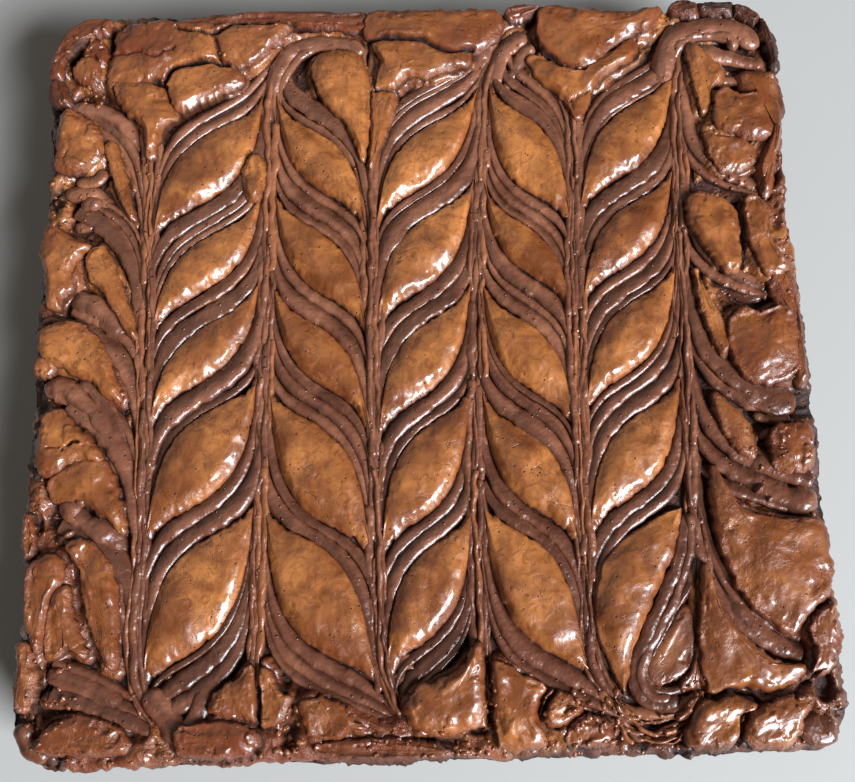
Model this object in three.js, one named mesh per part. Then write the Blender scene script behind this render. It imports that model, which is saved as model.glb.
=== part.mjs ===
import * as THREE from 'three';

// A whole chocolate brownie, baked in a square tin and turned out uncut.
// Its top is marbled: soft chocolate spread was piped across in six rows and a
// skewer was drawn through it in lines, up and down by turns, so that the crust
// between the rows stands up as feathered leaves.
// Millimetres, +Z up, origin at the centre of the flat underside.

// The slab
const slabSide = 200; // a 20 cm tin
const cornerRadius = 11;
const floorHeight = 26; // underside to the floor of the marbling
const crestRise = 3.6; // the craggy rim above that floor
const rimWidth = 8; // from the outer edge in to the marbled field

// The marbling
const leafRise = 3; // top of a leaf above the floor
const leafShoulder = 0.1; // share of a leaf's height taken by its steep side
const ribbonRise = 1.5; // each strand of spread above the floor
const creaseDepth = 0.5; // where spread and leaf meet, below the floor
const dragHalfWidth = 2.2; // a bundle of strands drawn out by the skewer
const dragRise = 0.9;
const featherReach = 6.7; // how far a row is pulled along, at the start of the curve
const featherAngle = THREE.MathUtils.degToRad(80);
const featherEnd = 0.87; // share of a half column where the pull ends
const leafTaper = 0.6; // how much of a leaf's height is lost towards its tips
const fadeLength = 32; // the pull dies away over this distance to the rim

// Skewer lines: x at the back, in the middle and at the front, the side shift of
// the flick that ends each stroke, and whether it was drawn to the front or back
const skewerLines = [
  { back: -73.5, middle: -72, front: -71, flick: 6, toFront: true },
  { back: -40.5, middle: -41, front: -42.8, flick: 9, toFront: false },
  { back: -12.5, middle: -13.2, front: -12, flick: 6, toFront: true },
  { back: 18.5, middle: 13.7, front: 13, flick: 9, toFront: false },
  { back: 43.5, middle: 40.3, front: 39, flick: 10, toFront: true },
  { back: 72.5, middle: 68, front: 66.5, flick: 2, toFront: false },
];
const lineReach = 80; // the distance from the middle at which back and front are given
const flickLength = 24;

// Middle heights of the six rows of spread in each of the seven columns between
// the lines, from the back to the front, and how wide each row is
const ribbonMiddles = [
  [70, 44, 12, -10, -42, -79],
  [68, 39, 14, -10, -42, -80],
  [68, 41, 13, -12, -45, -79],
  [72, 43, 13.5, -15, -45, -76],
  [78, 40.5, 15.5, -15, -44, -78],
  [75, 45, 19, -11, -41, -70],
  [80, 43, 15, -14, -37, -76],
];
const ribbonWidths = [9, 10, 9.5, 9.5, 8, 10.5];

// Breaks in the rim's crust, each a dent of this radius and depth
const rimBreaks = [
  { x: -83, y: 98, radius: 5, depth: 5 },
  { x: -94, y: 84, radius: 5, depth: 4 },
  { x: -97, y: -30, radius: 5, depth: 3 },
  { x: -93, y: -80, radius: 6, depth: 3.5 },
  { x: -33, y: -93, radius: 5, depth: 3.5 },
  { x: 14, y: -94, radius: 5, depth: 2.5 },
  { x: 94, y: -84, radius: 6, depth: 4.5 },
  { x: 84, y: -27, radius: 4, depth: 3 },
  { x: 88, y: 16, radius: 5, depth: 2.5 },
  { x: 96, y: 40, radius: 7, depth: 2 },
  { x: 71, y: 89, radius: 4, depth: 4 },
  { x: 34, y: 97, radius: 4, depth: 2.5 },
];

// The soft loop of spread that lies on the back right corner
const loop = { x: 84, y: 89, halfLength: 11, halfWidth: 5.5, tube: 2.8, rise: 3 };

const crust = new THREE.MeshStandardMaterial({ color: 0x8a5231, roughness: 0.5, metalness: 0 });

const fieldHalf = slabSide / 2 - rimWidth;
const { clamp, lerp, smoothstep } = THREE.MathUtils;

// Seeded lattice noise: a fixed value from -1 to 1 at each whole point, smooth between
function latticeValue(i, j, seed) {
  const mixed = Math.sin(i * 127.1 + j * 311.7 + seed * 74.7) * 43758.5453;
  return 2 * (mixed - Math.floor(mixed)) - 1;
}

function noise(x, y, size, seed) {
  const i = Math.floor(x / size);
  const j = Math.floor(y / size);
  const u = smoothstep(x / size - i, 0, 1);
  const v = smoothstep(y / size - j, 0, 1);
  const near = lerp(latticeValue(i, j, seed), latticeValue(i + 1, j, seed), u);
  const far = lerp(latticeValue(i, j + 1, seed), latticeValue(i + 1, j + 1, seed), u);
  return lerp(near, far, v);
}

// x of a skewer line at height y: a parabola through its three places, and a
// sideways flick where the stroke ends
function lineX(line, y) {
  const t = y / lineReach;
  const bend = (line.back + line.front) / 2 - line.middle;
  const along = line.toFront ? -y : y;
  const end = clamp((along - (fieldHalf - flickLength)) / flickLength, 0, 1);
  return line.middle + ((line.back - line.front) / 2) * t + bend * t * t + line.flick * end ** 3;
}

// The two sides of column c at height y: skewer lines, or the rim
function columnSides(c, y) {
  const left = c === 0 ? -fieldHalf : lineX(skewerLines[c - 1], y);
  const right = c === skewerLines.length ? fieldHalf : lineX(skewerLines[c], y);
  return [left, right];
}

// The marbled field is a grid. Its stations run across the columns, each with a
// place w from -1 at the column's left side to 1 at its right side.
const insideColumn = [-0.72, -0.38, 0, 0.38, 0.72];
const edgeColumn = [-0.9, -0.55, -0.15, 0.3, 0.62];

function makeStations() {
  const stations = [];
  for (let c = 0; c <= skewerLines.length; c++) {
    const first = c === 0;
    const last = c === skewerLines.length;
    if (first) {
      stations.push({ c, w: -1, line: 0 });
      edgeColumn.slice(1).forEach((w) => stations.push({ c, w, line: 0 }));
    } else if (last) {
      edgeColumn.slice(1).reverse().forEach((w) => stations.push({ c, w: -w, line: 0 }));
      stations.push({ c, w: 1, line: 0 });
    } else {
      insideColumn.forEach((w) => stations.push({ c, w, line: 0 }));
    }
    if (!last) {
      stations.push({ c, w: 1, line: -1 }, { c, w: 1, line: 0, centre: true }, { c: c + 1, w: -1, line: 1 });
    }
  }
  return stations;
}

// How far a row is pulled towards the front or back at place w of column c.
// The pull follows a tangent curve. In the two outer columns it starts at the rim.
function pull(c, w) {
  const outer = c === 0 || c === skewerLines.length;
  const share = outer ? (c === 0 ? (w + 1) / 2 : (w - 1) / 2) : w;
  const reach = featherReach * Math.tan(featherAngle * clamp(share, -featherEnd, featherEnd));
  const rising = c % 2 === 1;
  return rising ? reach : -reach;
}

// Heights of the field's row edges in column c, from the front rim to the back one
function rowEdges(c, w) {
  const edges = [-fieldHalf];
  for (let k = ribbonWidths.length - 1; k >= 0; k--) {
    const middle = ribbonMiddles[c][k];
    edges.push(middle - ribbonWidths[k] / 2, middle + ribbonWidths[k] / 2);
  }
  edges.push(fieldHalf);
  const tapered = edges.map((edge, n) => {
    const isLeafEdge = n > 1 && n < edges.length - 2;
    if (!isLeafEdge) return edge;
    const leafAbove = n % 2 === 0;
    const leafHeight = leafAbove ? edges[n + 1] - edge : edge - edges[n - 1];
    const loss = (leafHeight / 2) * leafTaper * Math.min(w * w, featherEnd ** 2);
    return leafAbove ? edge + loss : edge - loss;
  });
  return tapered.map((edge) => {
    const fade = smoothstep(fieldHalf - Math.abs(edge), 0, fadeLength);
    return edge + pull(c, w) * fade;
  });
}

// The rows: how far up its band each lies, and how high the top stands there as a
// share of the band's own rise
const bandRows = {
  rim: [[0, -0.2], [0.3, 0.7], [0.65, 0.9]],
  ribbon: [[0, -1], [0.24, 1], [0.5, 0.35], [0.76, 1]],
  leaf: [[0, -1], [leafShoulder, 0.75], [0.36, 1], [0.64, 1], [1 - leafShoulder, 0.75]],
};

function makeRows() {
  const rows = [];
  const bands = 2 * ribbonWidths.length + 1;
  for (let band = 0; band < bands; band++) {
    const kind = band === 0 || band === bands - 1 ? 'rim' : band % 2 === 1 ? 'ribbon' : 'leaf';
    bandRows[kind].forEach(([part, share]) => rows.push({ band, kind, part, share }));
  }
  rows.push({ band: bands - 1, kind: 'rim', part: 1, share: 0.5 });
  return rows;
}

// Height of one row at a station. Beside and on a skewer line the two columns'
// heights are averaged, so that the rows run on across it.
function rowHeight(station, row) {
  const at = (c, w) => {
    const edges = rowEdges(c, w);
    return lerp(edges[row.band], edges[row.band + 1], row.part);
  };
  if (station.line === 0 && !station.centre) return at(station.c, station.w);
  const leftColumn = station.line === 1 ? station.c - 1 : station.c;
  return (at(leftColumn, 1) + at(leftColumn + 1, -1)) / 2;
}

function stationX(station, y) {
  const [left, right] = columnSides(station.c, y);
  if (station.line === -1) return right - dragHalfWidth;
  if (station.line === 1) return left + dragHalfWidth;
  return lerp(left, right, (station.w + 1) / 2);
}

// Rise of the loop of spread: a tube bent round an oblong
function loopRise(x, y) {
  const straight = loop.halfLength - loop.halfWidth;
  const dx = Math.max(Math.abs(x - loop.x) - straight, 0);
  const off = (Math.hypot(dx, y - loop.y) - loop.halfWidth) / loop.tube;
  return Math.abs(off) < 1 ? loop.rise * Math.sqrt(1 - off * off) : 0;
}

function breakDepth(x, y) {
  return rimBreaks.reduce((depth, hole) => {
    const t = Math.hypot(x - hole.x, y - hole.y) / hole.radius;
    return depth + (t < 1 ? hole.depth * (1 - t * t) : 0);
  }, 0);
}

function fieldHeight(station, row, x, y) {
  const onLine = station.line !== 0 || station.centre;
  const low = floorHeight + 0.35 * noise(x, y, 9, 3);
  if (onLine) return low + (station.centre ? dragRise : -creaseDepth) - breakDepth(x, y);
  const rise = { rim: leafRise, ribbon: ribbonRise, leaf: leafRise }[row.kind];
  const lift = row.share < 0 ? creaseDepth * row.share : rise * row.share;
  const craggy = row.kind === 'rim' ? 0.8 * noise(x, y, 6, 5) : 0;
  return low + lift + craggy + loopRise(x, y) - breakDepth(x, y);
}

// A point of the rounded square that lies inset from the slab's outline, at place s
// from -1 to 1 along side n. The arc length is shared out evenly, so that a
// quarter turn of the corner belongs to each pair of sides.
function outlinePoint(n, s, inset) {
  const half = slabSide / 2 - inset;
  const radius = Math.max(cornerRadius - inset, 1.5);
  const straight = half - radius;
  const arc = (Math.PI / 4) * radius;
  const run = Math.abs(s) * (straight + arc);
  const angle = Math.max(run - straight, 0) / radius;
  const along = Math.min(run, straight) + radius * Math.sin(angle);
  const out = straight + radius * Math.cos(angle);
  const local = new THREE.Vector2(out, Math.sign(s) * along);
  return local.rotateAround(new THREE.Vector2(0, 0), (n * Math.PI) / 2);
}

// The loops that carry the field's edge over the rim and down the side: distance in
// from the outline, height, roughness of the height and of the outline
const rimLoops = [
  { inset: 5, height: floorHeight + crestRise, rough: 1.3, wander: 0.3 },
  { inset: 2.2, height: floorHeight + crestRise - 0.6, rough: 1.1, wander: 0.5 },
  { inset: 0.4, height: floorHeight + crestRise - 3.2, rough: 0.8, wander: 0.7 },
  { inset: 0, height: 17, rough: 0.8, wander: 0.6 },
  { inset: 0.3, height: 8, rough: 0.8, wander: 0.5 },
  { inset: 0.9, height: 1.6, rough: 0.2, wander: 0.4 },
  { inset: 2, height: 0, rough: 0, wander: 0.3 },
];

function rimPoint(n, s, rimLoop, index) {
  const flat = outlinePoint(n, s, rimLoop.inset);
  const shift = rimLoop.wander * (noise(flat.x, flat.y, 14, 11) + noise(flat.x, flat.y, 4.5, 12 + index));
  const hollow = 1.6 * Math.exp(-(((flat.y - 40) / 13) ** 2)) * (flat.x > fieldHalf ? 1 : 0);
  const inward = flat.clone().normalize();
  const outward = Math.abs(s) > 0.9 ? inward : new THREE.Vector2(1, 0).rotateAround(new THREE.Vector2(), (n * Math.PI) / 2);
  flat.addScaledVector(outward, shift - hollow);
  const onTop = rimLoop.height > floorHeight - 2;
  const crag = rimLoop.rough * (noise(flat.x, flat.y, 8, 21) + 0.6 * noise(flat.x, flat.y, 3.4, 22 + index));
  const dent = onTop ? breakDepth(flat.x, flat.y) : 0;
  const height = rimLoop.height + crag - dent + (onTop ? loopRise(flat.x, flat.y) * 0.5 : 0);
  return new THREE.Vector3(flat.x, flat.y, Math.max(height, 0));
}

function makeBrownie() {
  const stations = makeStations();
  const rows = makeRows();
  const positions = [];
  const triangles = [];
  const addPoint = (p) => positions.push(p.x, p.y, p.z) / 3 - 1;

  // The marbled field
  const field = rows.map((row) => stations.map((station) => {
    const y = rowHeight(station, row);
    const x = stationX(station, y);
    return addPoint(new THREE.Vector3(x, y, fieldHeight(station, row, x, y)));
  }));
  const lastRow = rows.length - 1;
  const lastStation = stations.length - 1;
  for (let j = 0; j < lastRow; j++) {
    for (let i = 0; i < lastStation; i++) {
      const [a, b] = [field[j][i], field[j][i + 1]];
      const [d, c] = [field[j + 1][i], field[j + 1][i + 1]];
      const rising = stations[i].c % 2 === 1;
      if (rising) triangles.push(a, b, c, a, c, d);
      else triangles.push(a, b, d, b, c, d);
    }
  }

  // The field's outer edge, turning to the left from the front right corner, with
  // the side that each point faces and its place along that side
  const edge = [];
  const alongSide = (id, n) => {
    const [x, y] = positions.slice(3 * id, 3 * id + 2);
    return [y, -x, -y, x][n] / fieldHalf;
  };
  const addSide = (ids, n) => ids.forEach((id) => edge.push({ id, n, s: alongSide(id, n) }));
  addSide(rows.slice(0, lastRow).map((_, j) => field[j][lastStation]), 0);
  addSide(stations.slice(1).map((_, i) => field[lastRow][lastStation - i]), 1);
  addSide(rows.slice(1).map((_, j) => field[lastRow - j][0]), 2);
  addSide(stations.slice(1).map((_, i) => field[0][i]), 3);

  // Loop by loop over the rim and down to the underside
  let inner = edge.map((point) => point.id);
  rimLoops.forEach((rimLoop, index) => {
    const outer = edge.map(({ n, s }) => addPoint(rimPoint(n, s, rimLoop, index)));
    outer.forEach((id, k) => {
      const next = (k + 1) % outer.length;
      triangles.push(inner[k], id, outer[next], inner[k], outer[next], inner[next]);
    });
    inner = outer;
  });

  // The flat underside: one square in the middle, and fans from its corners
  const half = fieldHalf - rimWidth;
  const corners = [[half, half], [-half, half], [-half, -half], [half, -half]]
    .map(([x, y]) => addPoint(new THREE.Vector3(x, y, 0)));
  triangles.push(corners[0], corners[2], corners[1], corners[0], corners[3], corners[2]);
  const cornerOf = (n, s) => corners[(n + (s < 0 ? 3 : 0)) % 4];
  edge.forEach(({ n, s }, k) => {
    const next = (k + 1) % edge.length;
    const here = cornerOf(n, s);
    const there = cornerOf(edge[next].n, edge[next].s);
    triangles.push(here, inner[next], inner[k]);
    if (here !== there) triangles.push(here, there, inner[next]);
  });

  const geometry = new THREE.BufferGeometry();
  geometry.setAttribute('position', new THREE.Float32BufferAttribute(positions, 3));
  geometry.setIndex(triangles);
  geometry.computeBoundingBox();
  const centre = geometry.boundingBox.getCenter(new THREE.Vector3());
  geometry.translate(-centre.x, -centre.y, -geometry.boundingBox.min.z);
  geometry.computeVertexNormals();
  return new THREE.Mesh(geometry, crust);
}

const brownie = makeBrownie();
brownie.name = 'brownie';

const part = new THREE.Group();
part.add(brownie);
export default part;
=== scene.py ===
import math
import bpy
import numpy as np
from mathutils import Matrix


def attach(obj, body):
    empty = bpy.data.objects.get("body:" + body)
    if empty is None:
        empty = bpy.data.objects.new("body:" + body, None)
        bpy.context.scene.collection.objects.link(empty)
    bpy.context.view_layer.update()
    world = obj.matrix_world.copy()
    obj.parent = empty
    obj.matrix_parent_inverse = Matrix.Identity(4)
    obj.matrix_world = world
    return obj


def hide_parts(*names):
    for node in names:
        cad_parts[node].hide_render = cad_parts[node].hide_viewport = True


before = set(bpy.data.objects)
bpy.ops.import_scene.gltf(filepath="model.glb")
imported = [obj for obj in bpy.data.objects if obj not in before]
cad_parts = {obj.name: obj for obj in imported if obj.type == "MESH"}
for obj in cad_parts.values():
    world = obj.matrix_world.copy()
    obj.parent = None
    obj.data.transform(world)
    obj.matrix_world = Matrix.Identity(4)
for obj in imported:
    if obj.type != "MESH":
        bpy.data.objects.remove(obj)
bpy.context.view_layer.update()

# A whole chocolate brownie with a feathered marbled top. Shapes are worked out in millimetres
# in the solid's own frame and turned into metres when a mesh is made.
metresPerMm = 0.001
rng = np.random.default_rng(2024)

slab = dict(
    half=100.0,          # from the middle to each side
    cornerRadius=11.0,
    floor=26.0,          # underside to the floor of the marbling
    field=92.0,          # half the width of the marbled field
)

marbling = dict(
    reach=6.7,           # how far a row of spread is pulled, at the start of its curve
    angle=math.radians(80),
    held=0.995,          # no place counts as nearer to a line than this share
    taper=0.5,           # share of a leaf's width lost towards its tips
    leafEnd=0.9,         # where a leaf ends, as a share of half a column
    roundness=8,         # how suddenly the tips of a leaf close
    lineReach=80.0,      # y at which the back and front places of the lines are given
    flickLength=24.0,    # how long the flick at the end of a line is, along y
    flickMost=1.15,      # as a share of that, where it stops bending
    softStart=80.0,      # beyond this y the strands bunch up against the rim
    softRoom=15.0,       # within this much
)

# x of each skewer line at the back, middle and front, and the flick at the end of its stroke
skewerLines = [
    dict(back=-73.5, middle=-72.0, front=-71.0, flick=6.0, toFront=True),
    dict(back=-40.5, middle=-41.0, front=-42.8, flick=9.0, toFront=False),
    dict(back=-12.5, middle=-13.2, front=-12.0, flick=6.0, toFront=True),
    dict(back=18.5, middle=13.7, front=13.0, flick=9.0, toFront=False),
    dict(back=43.5, middle=40.3, front=39.0, flick=10.0, toFront=True),
    dict(back=72.5, middle=68.0, front=66.5, flick=2.0, toFront=False),
]

# Middle y of the six rows of spread, from the back, column by column, and their widths
ribbonMiddles = [
    [70.2, 44.5, 12.5, -9.5, -42.0, -78.5],
    [68.0, 39.2, 14.2, -9.8, -41.7, -79.6],
    [68.2, 40.8, 13.2, -12.2, -45.0, -79.2],
    [71.8, 43.0, 13.5, -14.8, -45.4, -76.0],
    [75.6, 40.5, 15.5, -15.0, -43.8, -78.4],
    [74.9, 45.4, 18.7, -11.2, -40.8, -69.3],
    [80.0, 44.8, 16.0, -14.3, -35.8, -75.0],
]
ribbonWidths = [
    [8.5, 9.0, 9.0, 9.0, 8.0, 11.0],
    [8.0, 10.5, 9.6, 8.9, 9.4, 12.8],
    [9.6, 11.5, 8.9, 10.7, 5.8, 10.7],
    [13.9, 9.2, 9.5, 8.2, 7.9, 9.3],
    [16.7, 10.0, 13.6, 11.4, 7.5, 9.6],
    [10.2, 8.9, 10.6, 11.7, 7.5, 11.4],
    [8.0, 6.4, 6.0, 8.6, 14.4, 10.0],
]
rowCount = len(ribbonMiddles[0])
lastColumn = len(skewerLines)


# 0 below low, 1 above high, and the cubic 3tt - 2ttt between them
def ease(low, high, x):
    t = np.clip((np.asarray(x, float) - low) / (high - low), 0, 1)
    return t * t * (3 - 2 * t)


# Seeded values from -1 to 1 at whole points: the fraction of a large sine
def latticeValue(i, j, seed):
    mixed = np.sin(i * 127.1 + j * 311.7 + seed * 74.7) * 43758.5453
    return 2 * (mixed - np.floor(mixed)) - 1


# Lattice values blended smoothly over cells of the given size
def noise(x, y, size, seed):
    u, v = np.asarray(x, float) / size, np.asarray(y, float) / size
    i, j = np.floor(u), np.floor(v)
    u, v = ease(0, 1, u - i), ease(0, 1, v - j)
    near = latticeValue(i, j, seed) * (1 - u) + latticeValue(i + 1, j, seed) * u
    far = latticeValue(i, j + 1, seed) * (1 - u) + latticeValue(i + 1, j + 1, seed) * u
    return near * (1 - v) + far * v


# Noise plus ever finer noise at a lesser share
def roughNoise(x, y, size, seed, octaves=3, share=0.5):
    total = 0
    for n in range(octaves):
        total = total + share ** n * noise(x, y, size / 2.1 ** n, seed + 7 * n)
    return total


# x of a skewer line: a parabola through its three places, and a cubic flick at its end
def lineX(k, y):
    line, y = skewerLines[k], np.asarray(y, float)
    t = y / marbling["lineReach"]
    bend = (line["back"] + line["front"]) / 2 - line["middle"]
    along = -y if line["toFront"] else y
    end = (along - slab["field"] + marbling["flickLength"]) / marbling["flickLength"]
    end = np.clip(end, 0, marbling["flickMost"])
    return line["middle"] + (line["back"] - line["front"]) / 2 * t + bend * t * t + line["flick"] * end ** 3


# x of the two sides of column c at y: skewer lines, or the rim
def columnSides(c, y):
    left = lineX(c - 1, y) if c > 0 else np.full_like(y, -slab["field"])
    right = lineX(c, y) if c < lastColumn else np.full_like(y, slab["field"])
    return left, right


# Place w of column c, from -1 at its left side to 1 at its right, as a share of the pull's
# own span: the outer columns are only half of one
def pullShare(c, w):
    if c == 0:
        return (w + 1) / 2
    if c == lastColumn:
        return (w - 1) / 2
    return w


# That share, kept clear of the lines, where the pull would have no end
def heldShare(c, w):
    return np.clip(pullShare(c, w), -marbling["held"], marbling["held"])


# How far a row is pulled along y: reach times the tangent of a share of the angle
def pull(c, w):
    amount = marbling["reach"] * np.tan(marbling["angle"] * heldShare(c, w))
    return amount if c % 2 == 1 else -amount


# Slope of that curve: the derivative of the tangent over the half width in millimetres
def pullSlope(c, w, halfWidth):
    span = halfWidth * (2 if c in (0, lastColumn) else 1)
    return marbling["reach"] * marbling["angle"] / np.cos(marbling["angle"] * heldShare(c, w)) ** 2 / span


# Share of its full width that a leaf keeps at place w: it tapers with the square of w and
# closes at the tips
def leafFactor(c, w):
    share = np.abs(pullShare(c, w))
    closing = np.clip(1 - np.clip(share / marbling["leafEnd"], 0, 1) ** marbling["roundness"], 0, 1)
    return (1 - marbling["taper"] * share ** 2) * np.sqrt(closing)


# Bottom and top of leaf k of column c, which lies between ribbons k - 1 and k, before the pull
def leafEdges(c, k, w):
    top = ribbonMiddles[c][k - 1] - ribbonWidths[c][k - 1] / 2
    bottom = ribbonMiddles[c][k] + ribbonWidths[c][k] / 2
    middle, half = (top + bottom) / 2, (top - bottom) / 2
    return middle - half * leafFactor(c, w), middle + half * leafFactor(c, w)


# Bottom and top of ribbon k of column c before the pull: the edges of its neighbours
def ribbonEdges(c, k, w):
    middle, half = ribbonMiddles[c][k], ribbonWidths[c][k] / 2
    top = leafEdges(c, k, w)[0] if k > 0 else middle + half + 0 * w
    bottom = leafEdges(c, k + 1, w)[1] if k < rowCount - 1 else middle - half + 0 * w
    return bottom, top


# Beyond the soft start, y closes in on the rim without reaching it, ever more slowly
def keepInside(y):
    over = np.maximum(np.abs(y) - marbling["softStart"], 0)
    room = marbling["softRoom"]
    held = np.minimum(np.abs(y), marbling["softStart"]) + room * (1 - np.exp(-over / room))
    return np.sign(y) * held


# x of place w of column c at y: as far between its sides as w is between -1 and 1
def columnPoint(c, w, y):
    left, right = columnSides(c, y)
    return left + (right - left) * (w + 1) / 2


# Closed surfaces of stacked rings, each stack closed by a point at both ends, gathered into
# one mesh. A mark is a number at every point, which the finishes read.
class Rings:
    def __init__(self, *markNames):
        self.points, self.quads, self.fans, self.count = [], [], [], 0
        self.marks = {name: [] for name in markNames}

    # rings is an array of m rings by n points by xyz; a mark is a number or an m by n array
    def add(self, rings, **marks):
        m, n = rings.shape[:2]
        ends = np.stack([rings[0].mean(0), rings[-1].mean(0)])
        points = np.concatenate([rings.reshape(-1, 3), ends])
        index = np.arange(m * n).reshape(m, n)
        onward = np.roll(index, -1, axis=1)
        quads = np.stack([index[:-1], onward[:-1], onward[1:], index[1:]], -1).reshape(-1, 4)
        first = np.stack([np.full(n, m * n), onward[0], index[0]], -1)
        last = np.stack([np.full(n, m * n + 1), index[-1], onward[-1]], -1)
        fans = np.concatenate([first, last])
        triangles = np.concatenate([quads[:, [0, 1, 2]], quads[:, [0, 2, 3]], fans])
        a, b, c = (points[triangles[:, i]] - points.mean(0) for i in range(3))
        if np.einsum("ij,ij->", a, np.cross(b, c)) < 0:      # a shape inside out is turned
            quads, fans = quads[:, ::-1], fans[:, ::-1]
        self.points.append(points)
        self.quads.append(quads + self.count)
        self.fans.append(fans + self.count)
        self.count += len(points)
        for name, store in self.marks.items():
            grid = np.broadcast_to(np.asarray(marks.get(name, 0.0), float), (m, n))
            store.append(np.concatenate([grid.ravel(), [grid[0].mean(), grid[-1].mean()]]))


# A mesh of the gathered rings, in metres, with its marks, on the one body
def makePiece(name, rings, material):
    points = np.concatenate(rings.points) * metresPerMm
    quads, fans = np.concatenate(rings.quads), np.concatenate(rings.fans)
    corners = np.concatenate([quads.ravel(), fans.ravel()]).astype(np.int32)
    starts = np.concatenate([np.arange(len(quads)) * 4, len(quads) * 4 + np.arange(len(fans)) * 3])
    mesh = bpy.data.meshes.new(name)
    mesh.vertices.add(len(points))
    mesh.vertices.foreach_set("co", points.ravel())
    mesh.loops.add(len(corners))
    mesh.loops.foreach_set("vertex_index", corners)
    mesh.polygons.add(len(starts))
    mesh.polygons.foreach_set("loop_start", starts.astype(np.int32))
    mesh.polygons.foreach_set("use_smooth", np.ones(len(starts), bool))
    for markName, store in rings.marks.items():
        mark = mesh.attributes.new(markName, "FLOAT", "POINT")
        mark.data.foreach_set("value", np.concatenate(store))
    mesh.update()
    mesh.validate()
    mesh.materials.append(material)
    piece = bpy.data.objects.new(name, mesh)
    bpy.context.scene.collection.objects.link(piece)
    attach(piece, "root")
    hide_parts("brownie")
    print(name, len(quads) * 2 + len(fans), "triangles")


# Finishes. A wire is a socket that takes part in sums; a finish is one material.
class Wire:
    def __init__(self, finish, socket):
        self.finish, self.socket = finish, socket

    def math(self, operation, *values):
        sockets = dict(enumerate(values))
        return self.finish.node("ShaderNodeMath", {"operation": operation}, sockets)

    def __add__(self, other):
        return self.math("ADD", self, other)

    def __sub__(self, other):
        return self.math("SUBTRACT", self, other)

    def __rsub__(self, other):
        return self.math("SUBTRACT", other, self)

    def __mul__(self, other):
        return self.math("MULTIPLY", self, other)

    __radd__, __rmul__ = __add__, __mul__

    def ramp(self, low, high):       # 0 at low, 1 at high, smooth between
        settings = {"interpolation_type": "SMOOTHSTEP"}
        return self.finish.node("ShaderNodeMapRange", settings, {0: self, 1: low, 2: high})

    def contour(self, level, width):     # 1 where it passes the level, 0 beyond the width
        away = self - level
        return 1 - away.math("ABSOLUTE", away).ramp(0, width)


class Finish:
    def __init__(self, name, look):
        self.material = bpy.data.materials.new(name)
        self.material.use_nodes = True
        self.tree = self.material.node_tree
        self.surface = self.tree.nodes["Principled BSDF"]
        self.surface.inputs["Roughness"].default_value = look["roughness"]
        self.surface.inputs["Coat Weight"].default_value = look.get("coat", 0.0)
        self.surface.inputs["Coat Roughness"].default_value = look.get("coatRoughness", 0.1)

    # any node: its settings, then the values or wires of its sockets, and the output to use
    def node(self, kind, settings=None, sockets=None, output=0):
        made = self.tree.nodes.new(kind)
        for key, value in (settings or {}).items():
            setattr(made, key, value)
        for key, value in (sockets or {}).items():
            if isinstance(value, Wire):
                self.tree.links.new(value.socket, made.inputs[key])
            else:
                made.inputs[key].default_value = value
        return Wire(self, made.outputs[output])

    def place(self):
        return self.node("ShaderNodeTexCoord", output="Object")

    def mark(self, name):
        return self.node("ShaderNodeAttribute", {"attribute_name": name}, output="Fac")

    # painted light: from 0 at the front to 1 at the back, and a little more to the left, so colours are paler
    # where more light seems to fall
    def paintedBackLight(self):
        split = {"Vector": self.place()}
        x, y = (self.node("ShaderNodeSeparateXYZ", {}, split, axis) for axis in "XY")
        return y * 4 - x + 0.5

    # size is about as wide as its patches, in millimetres
    def noise(self, size, detail=2.0, roughness=0.5, swirl=0.0):
        sockets = {"Vector": self.place(), "Scale": 1 / (size * metresPerMm), "Detail": detail,
                   "Roughness": roughness, "Distortion": swirl}
        return self.node("ShaderNodeTexNoise", {}, sockets, "Fac")

    # distance to the nearest of scattered points, which lie about size millimetres apart
    def spots(self, size):
        sockets = {"Vector": self.place(), "Scale": 1 / (size * metresPerMm)}
        return self.node("ShaderNodeTexVoronoi", {}, sockets, "Distance")

    # the first colour where the factor is 0, the second where it is 1
    def mix(self, factor, first, second):
        settings = {"data_type": "RGBA", "clamp_factor": True}
        return self.node("ShaderNodeMix", settings, {0: factor, 6: first, 7: second}, 2)

    # each pair is a height and how deep it goes in millimetres
    def bump(self, *heights):
        normal = None
        for height, depth in heights:
            sockets = {"Height": height, "Distance": depth * metresPerMm, "Strength": 1.0}
            if normal:
                sockets["Normal"] = normal
            normal = self.node("ShaderNodeBump", {}, sockets)
        self.feed("Normal", normal)

    def feed(self, socketName, wire):
        self.tree.links.new(wire.socket, self.surface.inputs[socketName])


# A colour as seen on a screen, each channel from 0 to 255, made linear for the shader
def colour(red, green, blue):
    shares = np.array([red, green, blue]) / 255
    linear = np.where(shares < 0.04045, shares / 12.92, ((shares + 0.055) / 1.055) ** 2.4)
    return (*linear.tolist(), 1.0)


crustLook = dict(
    light=colour(188, 117, 60), middle=colour(116, 61, 27), dark=colour(98, 43, 16),
    # wall is the colour of painted shade at feet, in cracks, holes and crevices, and of the darker slab edge
    # and dark plates
    red=colour(112, 54, 26), wall=colour(34, 13, 8), pit=colour(40, 18, 10),
    roughness=0.4, unevenness=0.2, coat=0.66, coatRoughness=0.15,
    wallCoat=0.1,        # share of the coat that walls keep
    mottle=0.45, speck=0.8, hairline=0.45,      # how strong these are
    waves=0.55, grain=0.2, crumble=0.9, sunk=-0.25,      # depths of the relief in millimetres
)
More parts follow.
